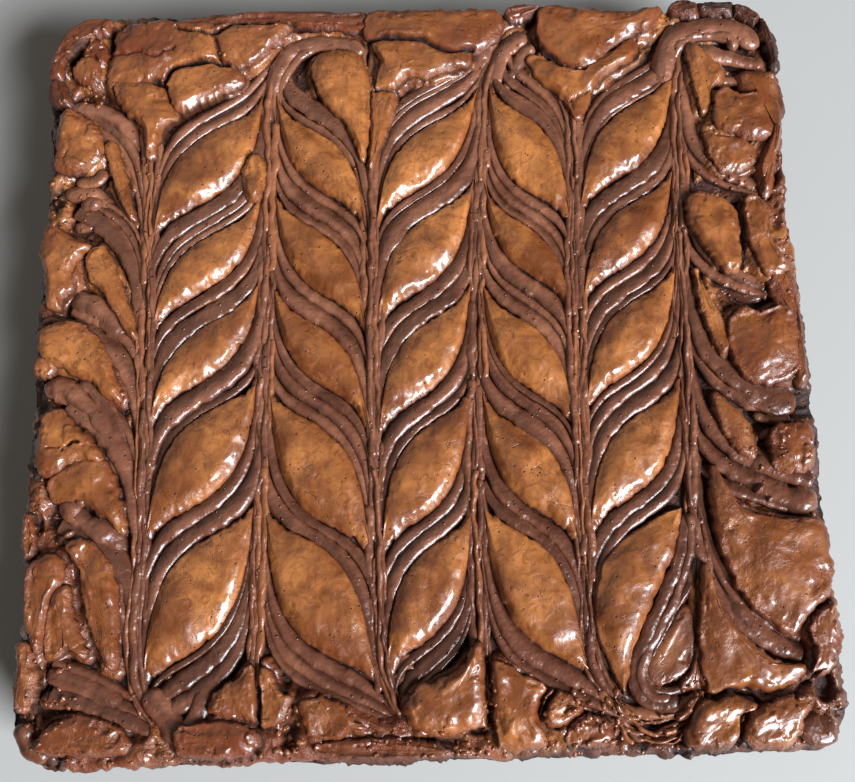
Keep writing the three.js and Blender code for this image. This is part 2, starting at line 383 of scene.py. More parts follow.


# Crust: tan and brown in broad and middling patches, paler to the back as painted light, mottled, redder
# where marked, with dark specks and curled hairlines, and darkened with painted shade where marked wall;
# coarser where it is marked rough
def crustFinish():
    finish, look = Finish("bakedCrust", crustLook), crustLook
    broad, middling, fine = finish.noise(34, 2), finish.noise(8, 3, 0.5, 0.6), finish.noise(2.6, 4, 0.6, 1.2)
    # painted light: paler towards the back left
    tan = broad * 0.4 + middling * 0.45 + finish.paintedBackLight() * 0.12
    base = finish.mix(tan.ramp(0.36, 0.64), look["middle"], look["light"])
    base = finish.mix(fine.ramp(0.46, 0.66) * look["mottle"], base, look["dark"])
    base = finish.mix(finish.mark("red"), base, look["red"])
    specks = (1 - finish.spots(2.3).ramp(0.06, 0.14)) * finish.noise(7, 1).ramp(0.42, 0.54)
    hairlines = finish.noise(5, 1, 0.5, 1.5).contour(0.5, 0.014) * finish.noise(6.5, 1).ramp(0.52, 0.6)
    base = finish.mix(specks * look["speck"] + hairlines * look["hairline"], base, look["pit"])
    # painted shade: the wall mark brings in the wall colour at feet, in cracks, holes and crevices, and it
    # also darkens the slab's edge and dark plates
    wall = finish.mark("wall")
    finish.feed("Base Color", finish.mix(wall, base, look["wall"]))
    finish.feed("Roughness", fine * look["unevenness"] + (look["roughness"] - 0.1) + wall * 0.3)
    finish.feed("Coat Weight", wall * ((look["wallCoat"] - 1) * look["coat"]) + look["coat"])
    crumbly = finish.noise(2.2, 4, 0.65) * finish.mark("rough")
    finish.bump((finish.noise(6, 2), look["waves"]), (fine, look["grain"]), (crumbly, look["crumble"]),
                (specks + hairlines * 0.3, look["sunk"]))
    return finish.material


spreadLook = dict(
    # dark is the colour of the streaks and of the painted shade where the spread is low
    light=colour(150, 96, 71), middle=colour(104, 60, 43), dark=colour(32, 13, 8), crust=colour(150, 90, 55),
    roughness=0.34, coat=0.4, coatRoughness=0.12,
    glint=0.08,          # roughness of a wet bead
    lowCoat=0.2,         # share of the coat that low places keep
    streak=0.42,
    waves=0.7, grain=0.16, ridges=0.08, beads=0.45,      # depths of the relief in millimetres
)


# Spread: paler to the back as painted light, streaked along its strands, darker where it is low as painted
# shade, and with small wet beads that glint
def spreadFinish():
    finish, look = Finish("chocolateSpread", spreadLook), spreadLook
    # painted light: paler towards the back left
    pale = finish.noise(9, 2) * 0.66 + finish.paintedBackLight() * 0.32
    streaks, low = finish.mark("streak"), finish.mark("low")
    base = finish.mix(pale.ramp(0.34, 0.74), look["middle"], look["light"])
    base = finish.mix(streaks.ramp(0.35, 0.95) * look["streak"], base, look["dark"])
    base = finish.mix(finish.mark("tint"), base, look["crust"])
    # painted shade where the low mark is set
    finish.feed("Base Color", finish.mix(low, base, look["dark"]))
    beads = (1 - finish.spots(2.6).ramp(0.03, 0.18)) * finish.noise(6, 1).ramp(0.4, 0.5)
    finish.feed("Roughness", look["roughness"] - beads * (look["roughness"] - look["glint"]))
    finish.feed("Coat Weight", low * ((look["lowCoat"] - 1) * look["coat"]) + look["coat"])
    finish.bump((finish.noise(3.2, 2), look["waves"]), (finish.noise(1.3, 3, 0.6), look["grain"]),
                (streaks, look["ridges"]), (beads, look["beads"]))
    return finish.material


crumbLook = dict(
    light=colour(84, 44, 30), middle=colour(58, 29, 20), dark=colour(26, 13, 9), roughness=0.5,
    grain=0.7, holes=-0.5,       # depths of the relief in millimetres
)


# Crumb: dark brown in patches, grainy, with small round holes
def crumbFinish():
    finish, look = Finish("darkCrumb", crumbLook), crumbLook
    broad, fine = finish.noise(7, 4, 0.65), finish.noise(1.5, 4, 0.7)
    base = finish.mix(broad.ramp(0.35, 0.65), look["middle"], look["light"])
    finish.feed("Base Color", finish.mix(fine.ramp(0.5, 0.75), base, look["dark"]))
    holes = 1 - finish.spots(2.6).ramp(0.1, 0.35)
    finish.bump((fine, look["grain"]), (holes, look["holes"]))
    return finish.material


crustMaterial, spreadMaterial, crumbMaterial = crustFinish(), spreadFinish(), crumbFinish()
print("finishes made")


# The rounded square inset from the slab's outline, as n points in order of arc length
def outlineLoop(inset, n):
    radius = max(slab["cornerRadius"] - inset, 1.5)
    straight = slab["half"] - inset - radius
    quarter = 2 * straight + math.pi / 2 * radius
    s = np.arange(n) / n * 4
    side, run = np.floor(s).astype(int), (s % 1) * quarter
    angle = np.clip(run - 2 * straight, 0, None) / radius
    x = straight + radius * np.cos(angle)
    y = -straight + np.minimum(run, 2 * straight) + radius * np.sin(angle)
    turn = side * math.pi / 2
    place = np.stack([x * np.cos(turn) - y * np.sin(turn), x * np.sin(turn) + y * np.cos(turn)], -1)
    facing = np.stack([np.cos(angle + turn), np.sin(angle + turn)], -1)
    return place, facing


body = dict(
    points=1100, wallRings=40,
    underside=2.0,       # inset of the flat underside
    foot=2.2, top=25.2,  # where the side starts, above its rounded foot, and ends, under the crust
    waves=0.7, grain=0.55, pits=1.5,     # how far these push the side out or in
)
dent = dict(depth=1.6, middle=40.0, width=13.0)      # a shallow dent in the right side


# How far the right side is dented at each place: a bell curve along y
def dentDepth(x, y):
    return dent["depth"] * np.exp(-((y - dent["middle"]) / dent["width"]) ** 2) * (x > slab["field"])


# Crumb: loops from the middle of the underside, out, up the side and in under the crust,
# with pits in the side
def makeCrumb():
    side, foot, top = np.linspace(0, 1, body["wallRings"]), body["foot"], body["top"]
    insets = np.concatenate([[60, 20, 6, body["underside"], 1.3, 0.8], 0.4 + 0 * side, [2.0, 6, 20, 60]])
    heights = np.concatenate([[0, 0, 0, 0, 0.5, 1.3], foot + (top - foot) * side, [top + 0.2] * 4])
    rings = []
    for inset, z in zip(insets, heights):
        place, facing = outlineLoop(inset, body["points"])
        x, y = place.T
        around = np.unwrap(np.arctan2(y, x)) * slab["half"]
        push = body["waves"] * noise(around, 0 * x + z, 14, 31)
        push = push + body["grain"] * roughNoise(around, 0 * x + z * 1.3, 3.6, 32)
        push = push - body["pits"] * ease(0.25, 0.8, noise(around, 0 * x + z * 1.2, 4.2, 35))
        push = (push - dentDepth(x, y)) * (z > 0) * (inset < 3)
        rings.append(np.stack([x + push * facing[:, 0], y + push * facing[:, 1], z + 0 * x], -1))
    crumb = Rings()
    crumb.add(np.array(rings))
    makePiece("crumbBody", crumb, crumbMaterial)


makeCrumb()

leaf = dict(
    rings=116, across=42,
    bottom=5,            # points across below, where a pad is closed
    wall=1.9,            # the steep part of a leaf's edge
    shoulder=(3.4, 0.8), # over how far that edge rounds off, at the front and the back
    dome=1.7,            # how much the middle stands above the edge
    domeWidth=6.5,
    ragged=0.4, chips=0.5,
    grain=0.14,
    sunk=2.0,            # how far a pad reaches down into the crumb
    tip=0.998,           # how far towards its end the last ring of a leaf stands
    tipEdge=0.02,        # what is left of the distance to the edge there
)


# Height of a leaf above the floor at distance e from its edge: a quarter round for the steep
# edge, and a parabola on to the middle
def leafHeight(e, widest, shoulder):
    edge = 1 - np.clip(e / shoulder, 0, 1)
    span = np.clip(widest, 1.0, leaf["domeWidth"])
    inner = 1 - np.clip(e / span, 0, 1)
    return leaf["wall"] * np.sqrt(1 - edge ** 2) + leaf["dome"] * (1 - inner ** 2) * span / leaf["domeWidth"]


# Length along a line of points, from its start to each of them
def lengthAlong(points):
    return np.concatenate([[0], np.cumsum(np.hypot(*np.diff(points, axis=0).T))])


# Points on a smooth curve through the given ones, evenly spaced by arc length: a Catmull-Rom
# cubic between each pair
def smoothCurve(corners, n, closed=False):
    p = np.array(corners, float)
    last = len(p) if closed else len(p) - 1
    t = np.linspace(0, last, 12 * n, endpoint=not closed)
    i = np.minimum(t.astype(int), last - 1)
    u = (t - i)[:, None]
    if closed:
        a, b, c, d = (p[(i + k) % len(p)] for k in (-1, 0, 1, 2))
    else:
        a, b, c, d = (p[np.clip(i + k, 0, last)] for k in (-1, 0, 1, 2))
    square, cube = 2 * a - 5 * b + 4 * c - d, 3 * b - a - 3 * c + d
    curve = 0.5 * (2 * b + (c - a) * u + square * u ** 2 + cube * u ** 3)
    if closed:
        curve = np.concatenate([curve, curve[:1]])
    along = lengthAlong(curve)
    stops = np.linspace(0, along[-1], n, endpoint=not closed)
    return np.stack([np.interp(stops, along, curve[:, 0]), np.interp(stops, along, curve[:, 1])], -1)


# Shares from 0 to 1, close together at both ends
def crowded(n, amount=0.75):
    t = np.linspace(0, 1, n)
    return t * (1 - amount) + (1 - np.cos(np.pi * t)) / 2 * amount


# Shares across a leaf, over the top and back below it
def leafShares():
    return np.concatenate([crowded(leaf["across"]), np.linspace(0.97, 0.03, leaf["bottom"])])[None, :]


# How far a leaf's edge is pushed out or chipped: a rough noise, and bites where a finer one is high
def raggedEdge(x, y, seed):
    bites = leaf["chips"] * ease(0.35, 0.75, noise(x, y, 1.7, seed + 4))
    return 0.6 * (leaf["ragged"] * roughNoise(x, y, 2.6, seed, 3, 0.7) - bites)


# Height and marks of a leaf: e is the distance from its edge, lit is how far that edge faces
# the front, and warp how uneven the top is
def finishLeaf(store, x, y, e, widest, lit, warp, seed):
    front, back = leaf["shoulder"]
    z = slab["floor"] + leafHeight(e, widest, back + (front - back) * lit)
    z = z + warp * noise(x, y, 6, seed + 1) * ease(0, 2.5, e)
    z = z + leaf["grain"] * roughNoise(x, y, 2.5, seed + 2) * ease(0, 1, e)
    z[:, leaf["across"]:] = slab["floor"] - leaf["sunk"]
    # redder and rougher towards its edge, and dark at its foot: painted shade in the crevice round it, partly
    # the darker side of the pad
    red = 0.6 * (1 - ease(0.1, 1.3, e)) + 0.3 * np.clip(noise(x, y, 12, seed + 3), 0, 1)
    rough = 0.05 + 0.6 * (1 - ease(0.1, 1.1, e)) * ease(-0.5, 0.5, noise(x, y, 5, seed + 5))
    store.add(np.stack([x, y, z], -1), wall=1 - ease(0.02, 0.3, e), red=np.clip(red, 0, 1), rough=rough)


# A leaf: rings across the column at places w, each going over the top from the front edge to
# the back one and returning below
def addLeaf(store, c, k, seed):
    end = marbling["leafEnd"] * leaf["tip"]
    w = np.sin(np.linspace(-1, 1, leaf["rings"]) * math.pi / 2)[:, None] * end
    low, high = leafEdges(c, k, w)
    v = leafShares()
    y = low + (high - low) * v + pull(c, w)
    left, right = columnSides(c, y)
    halfWidth = (right - left) / 2
    lean = 1 / np.sqrt(1 + pullSlope(c, w, halfWidth) ** 2)
    x = columnPoint(c, w, y)
    y = y + raggedEdge(x, y, seed) * (2 * v - 1) / np.maximum(lean, 0.25)
    e = np.minimum(v, 1 - v) * (high - low) * lean
    e = np.minimum(e, (end - np.abs(w)) * halfWidth + leaf["tipEdge"])
    warp = 0.25 + 0.55 * ease(0.55, 0.1, v)
    finishLeaf(store, x, y, e, (high - low) / 2 * lean, ease(0.7, 0.4, v), warp, seed)


# A leaf between two curves that run from tip to tip, built the same way as the others
def addBentLeaf(store, left, right, seed):
    left, right = smoothCurve(left, leaf["rings"]), smoothCurve(right, leaf["rings"])
    v = leafShares()
    over = (right - left)[:, None, :]
    width = np.hypot(*(right - left).T)[:, None]
    x, y = np.moveaxis(left[:, None, :] + over * v[..., None], -1, 0)
    along = lengthAlong((left + right) / 2)[:, None]
    ragged = raggedEdge(x, y, seed) * (2 * v - 1) / np.maximum(width, 1)
    x, y = x + ragged * over[..., 0], y + ragged * over[..., 1]
    fromTip = np.minimum(along, along[-1] - along)
    e = np.minimum(np.minimum(v, 1 - v) * width, 0.7 * fromTip + leaf["tipEdge"])
    finishLeaf(store, x, y, e, width / 2, ease(0.4, 0.8, v), 0.8, seed)


# The leaf along the hook of the last row: its two sides from tip to tip
hookLeaf = dict(
    left=[(64, -40.5), (59.5, -41.8), (55, -44.4), (50, -47.3), (46, -50.3), (43.2, -54), (41.2, -60),
          (40.3, -67), (41, -73), (42.8, -78), (44.5, -82), (46.4, -85.8)],
    right=[(64.3, -40.9), (63.6, -46), (62.2, -51), (60.4, -55), (56.3, -62.5), (52.6, -70), (50.6, -74),
           (49.2, -78), (48.5, -81.5), (47, -86)],
    seed=170,
)

crustMarks = ("wall", "red", "rough")
for name, columns in (("leavesLeft", (1, 2, 3)), ("leavesRight", (4, 5))):
    leaves = Rings(*crustMarks)
    for c in columns:
        for k in range(1, rowCount):
            if (c, k) != (5, 5):         # that one lies along the hook
                addLeaf(leaves, c, k, 100 + 10 * c + k)
    if name == "leavesRight":
        addBentLeaf(leaves, **hookLeaf)
    makePiece(name, leaves, crustMaterial)

strand = dict(
    rings=130, around=14,
    end=0.985,           # how far along the pull's span a strand runs
    rimEnd=0.9,          # and how far towards the rim in the outer columns
    widest=1.2,          # overlap with its neighbours
    thinnest=0.45,
    uneven=0.14,
    lean=0.3,            # how far the top of a strand slopes down to the back
    rise=1.1,            # how much higher the front strand of a ribbon is than the back one
    wave=0.35,           # how far it goes up and down, and strands differ in height
    ripple=0.05,
    usualWidth=3.8,      # about how wide a ribbon is for each of its strands
    custom=[(6, 0), (5, 5)],     # these two rows end in shapes of their own
)
spreadMarks = ("streak", "low", "tint")


# A tube along a path: each ring is an ellipse across the path, leaning to one side, with
# fine ridges that run along it
def tubeRings(x, y, z, across, upward, n, ripple, phase, lean=0.0):
    tx, ty = np.gradient(x), np.gradient(y)
    length = np.hypot(tx, ty) + 1e-9
    sideX, sideY = (-ty / length)[:, None], (tx / length)[:, None]
    angle = np.arange(n) / n * 2 * math.pi
    wave = 1 + ripple * np.cos(4 * angle + phase) + ripple * 0.6 * np.cos(7 * angle + 2 * phase)
    out = across[:, None] * np.cos(angle) * wave
    up = upward[:, None] * np.sin(angle) * wave - lean * out
    return np.stack([x[:, None] + sideX * out, y[:, None] + sideY * out, z[:, None] + up], -1), angle


# The middle of a strand at places w: part is where it lies in its ribbon, from front to back
def strandPath(c, k, part, w):
    bottom, top = ribbonEdges(c, k, w)
    y = keepInside(bottom + (top - bottom) * part + pull(c, w))
    return columnPoint(c, w, y), y, top - bottom


# A strand between the shares low and high of its ribbon, from even places along its length
def addStrand(store, c, k, low, high, seed):
    part, end, rimEnd = (low + high) / 2, strand["end"], strand["rimEnd"]
    ends = {0: (-rimEnd, 2 * end - 1), lastColumn: (1 - 2 * end, rimEnd)}.get(c, (-end, end))
    w = np.linspace(*ends, 900)
    along = lengthAlong(np.stack(strandPath(c, k, part, w)[:2], -1))
    w = np.interp(np.linspace(0, along[-1], strand["rings"]), along, w)
    x, y, width = strandPath(c, k, part, w)
    left, right = columnSides(c, y)
    slant = 1 / np.sqrt(1 + pullSlope(c, w, (right - left) / 2) ** 2)
    across = np.maximum((high - low) * width * slant / 2 * strand["widest"], strand["thinnest"])
    across = across * (1 + strand["uneven"] * noise(w * 9, 0 * w, 1, seed))
    upward = np.clip(0.42 * across + 0.6, 0.75, 1.8)
    spread = np.clip(slant * 1.3 - 0.2, 0, 1)        # 0 where the strands are drawn together
    z = slab["floor"] + 0.1 + strand["rise"] * (0.6 - part) * spread
    z = z + strand["wave"] * (noise(x, y, 10, seed + 1) + latticeValue(seed, 3, 5))
    around, ripple, lean = (strand[key] for key in ("around", "ripple", "lean"))
    rings, angle = tubeRings(x, y, z, across, upward, around, ripple, seed, lean)
    streak = 0.5 + 0.5 * np.cos(2 * angle + seed) + 0.3 * noise(x, y, 6, seed + 2)[:, None]
    # painted shade: dark underneath and along the back side, which faces away from the light
    shadeMark = np.clip(ease(0.75, -0.25, np.sin(angle)) + 0.35 * ease(0.3, 1, np.cos(angle)), 0, 0.95)
    store.add(rings, streak=np.clip(streak, 0, 1), low=shadeMark)


# Widths of the strands in one ribbon: uneven shares of it
def strandShares(count):
    weights = rng.uniform(0.5, 1.8, count)
    stops = np.concatenate([[0], np.cumsum(weights) / weights.sum()])
    return list(zip(stops[:-1], stops[1:]))


for name, columns in (("spreadLeft", (0, 1, 2)), ("spreadMiddle", (3, 4)), ("spreadRight", (5, 6))):
    store = Rings(*spreadMarks)
    for c in columns:
        for k in range(rowCount):
            if (c, k) in strand["custom"]:
                continue
            count = ribbonWidths[c][k] / strand["usualWidth"] + rng.uniform(-0.4, 0.4)
            count = int(np.clip(round(count), 2, 4))
            for n, (low, high) in enumerate(strandShares(count)):
                addStrand(store, c, k, low, high, 1000 + 60 * c + 8 * k + n)
    makePiece(name, store, spreadMaterial)

plate = dict(
    rings=20, around=130,
    wall=1.9, shoulder=(1.8, 0.35), dome=1.4, domeWidth=7.0,     # as for a leaf
    grow=0.6,            # how far a plate spreads beyond its outline
    ragged=0.55,
    sunk=(3.0, 1.2),     # how far it reaches down, and less so at the slab's edge
    bumps=0.6, grain=0.3,
    layer=0.55,          # height of a torn layer
    lift=0.7,
)

# Plates of crust on the rim and in the two outer columns: corners of the outline, then how
# far it is lifted, its slope to the right and back, and how red it is
rimPlates = [
    # back left
    dict(at=[(-84, 78), (-83, 86), (-82, 93), (-76, 96), (-68, 96), (-66, 90), (-67, 83), (-70, 78),
         (-77, 77)], lift=1.4, slope=(0.02, 0.03), red=0.45),
    dict(at=[(-68, 95), (-60, 95.5), (-55, 94), (-54, 88), (-56, 84), (-62, 83.5), (-67, 82), (-68.5, 88)],
         lift=1.6, slope=(0, 0.04), red=0.1),
    dict(at=[(-56, 94), (-48, 95), (-40, 95), (-34.5, 95.5), (-38, 90), (-42, 86), (-47, 83), (-53, 84.5)],
         lift=1.8, slope=(-0.03, 0.06), red=0.35),
    dict(at=[(-68, 78.5), (-66, 81.5), (-61, 82.8), (-55, 84), (-50.5, 82), (-48, 78.5), (-54, 75),
         (-60, 72.3), (-65, 70), (-67, 74)], lift=1.2, slope=(-0.05, 0.05), red=0.1),
    dict(at=[(-83, 77.5), (-77, 78.5), (-70, 78), (-67.5, 73), (-65.5, 69), (-69, 65), (-71.5, 57),
         (-73, 57), (-74.5, 65), (-79, 70)], lift=0.8, slope=(-0.04, 0.02), red=0.3),
    dict(at=[(-80, 95.5), (-66, 97), (-56, 98.5), (-45, 99.3), (-32, 99.5), (-22, 98.8), (-14, 98.5),
         (-14, 93.5), (-24, 94.5), (-36, 95), (-50, 94.6), (-64, 94), (-78, 93.5)], lift=1.0, red=0.75),
    dict(at=[(-46, 56), (-43.5, 57), (-41.5, 54.5), (-41.2, 50), (-42.2, 45), (-44.5, 43), (-46.8, 45.5),
         (-47.5, 51)], lift=0.4, dome=1.6, shoulder=(3.0, 2.0), red=0),
    # back, between the second and fourth lines
    dict(at=[(-13, 98), (0, 98.6), (14, 98.8), (23, 98.3), (24, 93), (20, 88), (14, 86), (8, 86), (0, 89.5),
         (-12.5, 90)], lift=1.3, slope=(0, 0.03), red=0.35),
    dict(at=[(-11.5, 89.5), (0, 89.3), (7, 86), (14, 85.5), (14.5, 82.5), (8, 80.5), (3, 79), (-3, 79),
         (-7, 75.5), (-11, 75), (-10, 83)], lift=1.2, slope=(0, 0.02), red=0.05),
    dict(at=[(-12, 74.5), (-8.5, 75), (-5.8, 74.5), (-6.8, 68), (-9.5, 61), (-12.3, 53), (-13.3, 54),
         (-12.4, 64)], lift=0.3, slope=(-0.08, 0)),
    dict(at=[(-28.5, 83), (-26, 86.5), (-21, 87.3), (-16, 86), (-13.3, 79), (-13, 70), (-13.8, 60),
         (-15, 54.5), (-17, 60), (-20, 66), (-25, 72.5), (-28, 78)], lift=0.5, red=0.1),
    dict(at=[(25, 98), (27, 95.5), (32, 97), (36, 99), (33, 100.3), (27, 99.8)], lift=1.2, red=0.8),
    # back right
    dict(at=[(35, 98.5), (46, 98.2), (58, 97.2), (68, 98.5), (66.5, 94), (60, 91), (54, 87), (48.5, 81),
         (45, 80.5), (40, 82.5), (36, 86), (34, 90)], lift=1.5, slope=(-0.03, 0.05), red=0.35),
    dict(at=[(31, 84), (33, 85), (37, 82.5), (41, 80.5), (46, 81), (51, 84), (56, 87), (60, 89.5),
         (61.5, 86), (57, 82.5), (51.5, 79), (47.5, 74), (45, 67.5), (43.5, 65.5), (41.5, 70), (36, 75.5),
         (32.5, 79.5)], lift=0.4),
    dict(at=[(71, 99), (75, 101), (79, 99.5), (78, 96.5), (73, 96.8)], lift=1.0, red=0.9, dark=0.3),
    dict(at=[(79.5, 99.8), (84, 100.3), (88.5, 99.8), (88, 97.3), (83, 96.9), (80, 97.5)], lift=0.9,
         red=1.0, dark=0.5),
    dict(at=[(89.5, 99.4), (93, 98.3), (96, 96), (94.5, 94), (91.5, 95.5), (89.3, 97)], lift=1.1, red=1.0,
         dark=0.5),
    dict(at=[(96.6, 95), (98.8, 91.5), (99.8, 86), (99.9, 80.5), (98, 80.8), (97.3, 86), (96, 91)],
         lift=0.8, red=0.95, dark=0.35),
    # back left corner
    dict(at=[(-84, 97), (-90, 97.5), (-95.5, 94), (-99, 88), (-100, 81), (-97.5, 80), (-96.5, 85),
         (-93.5, 90), (-89, 92.5), (-85, 93.5)], lift=1.6, red=0.85),
    dict(at=[(-94, 82), (-92, 85), (-89, 86), (-86.5, 82.5), (-88, 78.5), (-92, 79)], lift=1.7, red=0.25),
    dict(at=[(-91, 86.5), (-90, 91), (-86.5, 91), (-84.8, 87), (-86, 83), (-88.5, 86.5)], lift=0.9,
         red=0.7),
    dict(at=[(-100, 78), (-98, 79.5), (-96, 77), (-94.5, 73), (-96.5, 71.5), (-99.5, 74)], lift=1.2,
         red=0.95, dark=0.25),
    # left side
    dict(at=[(-95, 70), (-92, 69), (-88, 66), (-85.3, 61), (-85.5, 57), (-89, 53), (-93, 52), (-97, 53),
         (-97, 60), (-96.5, 66)], lift=1.5, slope=(-0.08, 0.03), red=0.5),
    dict(at=[(-84.5, 60), (-82, 61), (-79.5, 54), (-77.3, 46), (-76, 39), (-78, 40.5), (-80.5, 46),
         (-83, 54)], lift=0.3, slope=(-0.05, 0), red=0.1),
    dict(at=[(-98, 36.5), (-94, 34.5), (-90, 32.5), (-86.5, 31), (-89, 28.5), (-91, 25), (-91, 20),
         (-94, 16.5), (-94.8, 13.5), (-97, 16), (-97.7, 22), (-99, 28)], lift=1.4, slope=(-0.07, 0.02),
         red=0.3),
    dict(at=[(-88, 27), (-86.5, 30.5), (-83.5, 31), (-81, 26), (-78, 19), (-75, 11), (-74.3, 6), (-77, 8),
         (-80, 13), (-83.5, 19), (-86.5, 22)], lift=0.5, slope=(-0.05, 0), red=0.1),
    dict(at=[(-98.5, 7.5), (-94, 10), (-88, 9.5), (-84, 6), (-80.5, 0), (-79, -5), (-77.3, -10.5),
         (-81, -9.5), (-84, -6), (-88, -4), (-93, -1.5), (-98, 1.5)], lift=1.1, slope=(-0.05, 0.02),
         red=0.2),
    dict(at=[(-99.5, 0), (-97, 0.8), (-94.5, -1.5), (-96, -4), (-99, -3.5)], lift=1.0, red=0.4),
    dict(at=[(-95, -14), (-91, -14), (-88, -17), (-84, -21), (-81, -26), (-86, -26.3), (-90, -27.5),
         (-94, -30), (-97, -29), (-97, -21)], lift=1.7, slope=(0.02, 0.03), red=0.3),
    dict(at=[(-94, -31), (-89, -27.5), (-84, -26), (-80.5, -27), (-78, -32), (-76, -38), (-75.3, -44.5),
         (-79, -41), (-83, -38), (-86, -36), (-90, -36.5), (-93.5, -35)], lift=0.8, slope=(0, 0.05),
         red=0.15),
    dict(at=[(-89, -48), (-86, -46), (-82, -47), (-78.3, -52), (-76, -60), (-75.5, -70), (-76, -77.5),
         (-79, -74), (-82, -67), (-84, -60), (-85.5, -53)], lift=0.6, slope=(-0.04, 0), red=0.3),
    dict(at=[(-98, -58), (-97, -52), (-92, -49.5), (-89.5, -52), (-89.5, -56), (-92, -60), (-93, -67),
         (-94, -73), (-96, -69), (-97.5, -64)], lift=1.7, slope=(-0.06, 0), red=0.3),
    dict(at=[(-92, -62), (-90.3, -58), (-88, -57.5), (-87, -63), (-85, -68), (-83.3, -74), (-87, -71.5),
         (-91, -74), (-92.7, -72)], lift=0.8, slope=(-0.04, 0.02), red=0.2),
    dict(at=[(-98.7, -71), (-96, -71), (-95, -76), (-94, -78.5), (-95, -84), (-97, -87), (-99, -84),
         (-98.7, -77)], lift=1.6, slope=(-0.1, 0), red=0.35),
    dict(at=[(-99.5, -40), (-98, -40), (-96.5, -44), (-97, -49), (-98.5, -50), (-99.6, -46)], lift=1.2,
         red=0.7),
    dict(at=[(-93, -95), (-91, -90), (-85, -88), (-78, -89), (-73, -92), (-72, -96), (-80, -97),
         (-88, -96.5)], lift=0.9, slope=(0, 0.03), red=0.75),
    # front
    dict(at=[(-53, -86), (-50, -82), (-45.5, -79.5), (-42.8, -77), (-41.7, -83), (-41.5, -89), (-46, -88.5),
         (-52, -88)], lift=0.9, slope=(0, 0.04), red=0.25),
    dict(at=[(-41, -78.5), (-39, -77.8), (-36.5, -82.5), (-33.5, -85), (-35, -89), (-38, -91), (-41, -90)],
         lift=0.9, slope=(0, 0.03), red=0.1),
    dict(at=[(-31, -86), (-27, -84.7), (-22, -86.5), (-18, -90), (-15.5, -92.3), (-19, -92), (-22, -94.3),
         (-28, -94), (-30, -91)], lift=1.5, slope=(0, 0.04), red=0.15),
    dict(at=[(12, -73), (12.7, -82), (12, -91), (8, -93.5), (3, -94), (-4, -92.5), (-6, -87), (-3, -83.5),
         (2, -81.5), (7, -79)], lift=0.9, slope=(0, 0.04), red=0.4),
    dict(at=[(15, -78), (18, -78), (22, -80.5), (28, -83.5), (26.3, -86), (25.3, -91), (27, -95),
         (24, -97.8), (17, -97.3), (15.3, -92), (15, -85)], lift=1.1, slope=(0, 0.03), red=0.25),
    dict(at=[(29, -84.5), (33, -86), (36, -88.5), (34, -91), (30, -93), (27, -91), (27, -87)], lift=1.6,
         red=0.5),
    dict(at=[(33, -92.5), (37, -90), (42, -92.5), (43, -96), (38, -97.5), (32, -96.5)], lift=1.2, red=0.55),
    dict(at=[(-60, -91), (-52, -90), (-44, -91), (-41, -94), (-44, -97.5), (-54, -98), (-60, -96)],
         lift=1.1, red=0.9),
    dict(at=[(-28, -96), (-18, -94.5), (-6, -95), (2, -96.5), (4, -99), (-8, -99.6), (-22, -99.3)],
         lift=0.9, red=0.85),
    # the sunk plate inside the hook: its dark is painted shade for its low place
    dict(at=[(62.6, -65.5), (64.6, -69), (64.8, -74), (63, -79), (60, -82), (56.5, -83.8), (53.3, -82.5),
         (52.6, -79), (54.5, -75.5), (58, -71)], lift=-1.0, dome=0.1, shoulder=(0.6, 0.6),
         slope=(0.01, 0.02), red=0.35, dark=0.2),
    dict(at=[(66.4, -62), (67, -68), (66.6, -75), (65.4, -82), (63, -85), (60.5, -84.5), (62.5, -81.5),
         (64.6, -76), (65.6, -69)], lift=-0.3, dome=0.5, red=0.4, bent=True),
    dict(at=[(64, -88.5), (70, -87), (76, -87.7), (78, -89.3), (74, -91), (72.7, -97), (69, -99), (62, -98),
         (61, -94)], lift=1.5, slope=(0, 0.05), red=0.25),
    dict(at=[(75, -91.5), (80, -88.7), (86, -87), (90, -88), (88.5, -93), (85, -98), (77, -98.5),
         (74, -96)], lift=1.6, slope=(0, 0.06), red=0.35),
    # right side
    dict(at=[(68.3, -55), (70, -62), (73, -68.5), (78, -74.5), (83, -78.5), (91, -80.3), (86.5, -84),
         (81, -86), (76, -84.3), (70, -86), (66.7, -85), (65.7, -75), (66.3, -65)], lift=0.8,
         slope=(0, 0.03), red=0.2),
    dict(at=[(71.9, -30.5), (73.3, -34.5), (75.5, -38.5), (79, -41.8), (85, -44), (92, -45), (98, -45.5),
         (99.3, -54), (98.5, -62), (94, -66.5), (91, -69.5), (88, -72), (84, -69.5), (80, -66), (76, -60),
         (73, -52), (71, -42)], lift=1.0, slope=(0.03, 0), red=0.5),
    dict(at=[(92, -81.5), (93.5, -76), (92, -71.5), (94.5, -68), (98.5, -65), (99.5, -70), (99.3, -76),
         (96.5, -81)], lift=2.0, red=0.5),
    dict(at=[(74, -12), (78, -15), (82, -19), (83.6, -24), (83, -28.5), (80, -28), (77, -24), (75, -19)],
         lift=0.6, red=0.15),
    dict(at=[(88, -22), (93, -20.5), (97, -21), (98.2, -26), (97.2, -31), (92, -33), (88, -31.5),
         (87.5, -27)], lift=1.6, slope=(0.04, 0.05), red=0.55),
    dict(at=[(80, 8), (84, 10.5), (88, 9), (93, 11), (96.5, 8), (97.5, 0), (96.5, -6), (92, -8.5),
         (86, -9.5), (82, -7), (80, -2), (79.5, 3)], lift=1.4, slope=(0.02, 0), red=0.55),
    dict(at=[(72.3, 22), (74, 17.5), (77, 11.5), (79.4, 5.5), (80, 1), (78, -2), (76, 0.5), (74, 6.5),
         (72.4, 13)], lift=0.4, red=0.1),
    dict(at=[(72, 42), (76, 43), (81, 41), (84, 38), (85, 33), (85, 26), (84, 21), (80.5, 21), (77, 25.5),
         (73.5, 31), (71.5, 36)], lift=1.0, red=0.35),
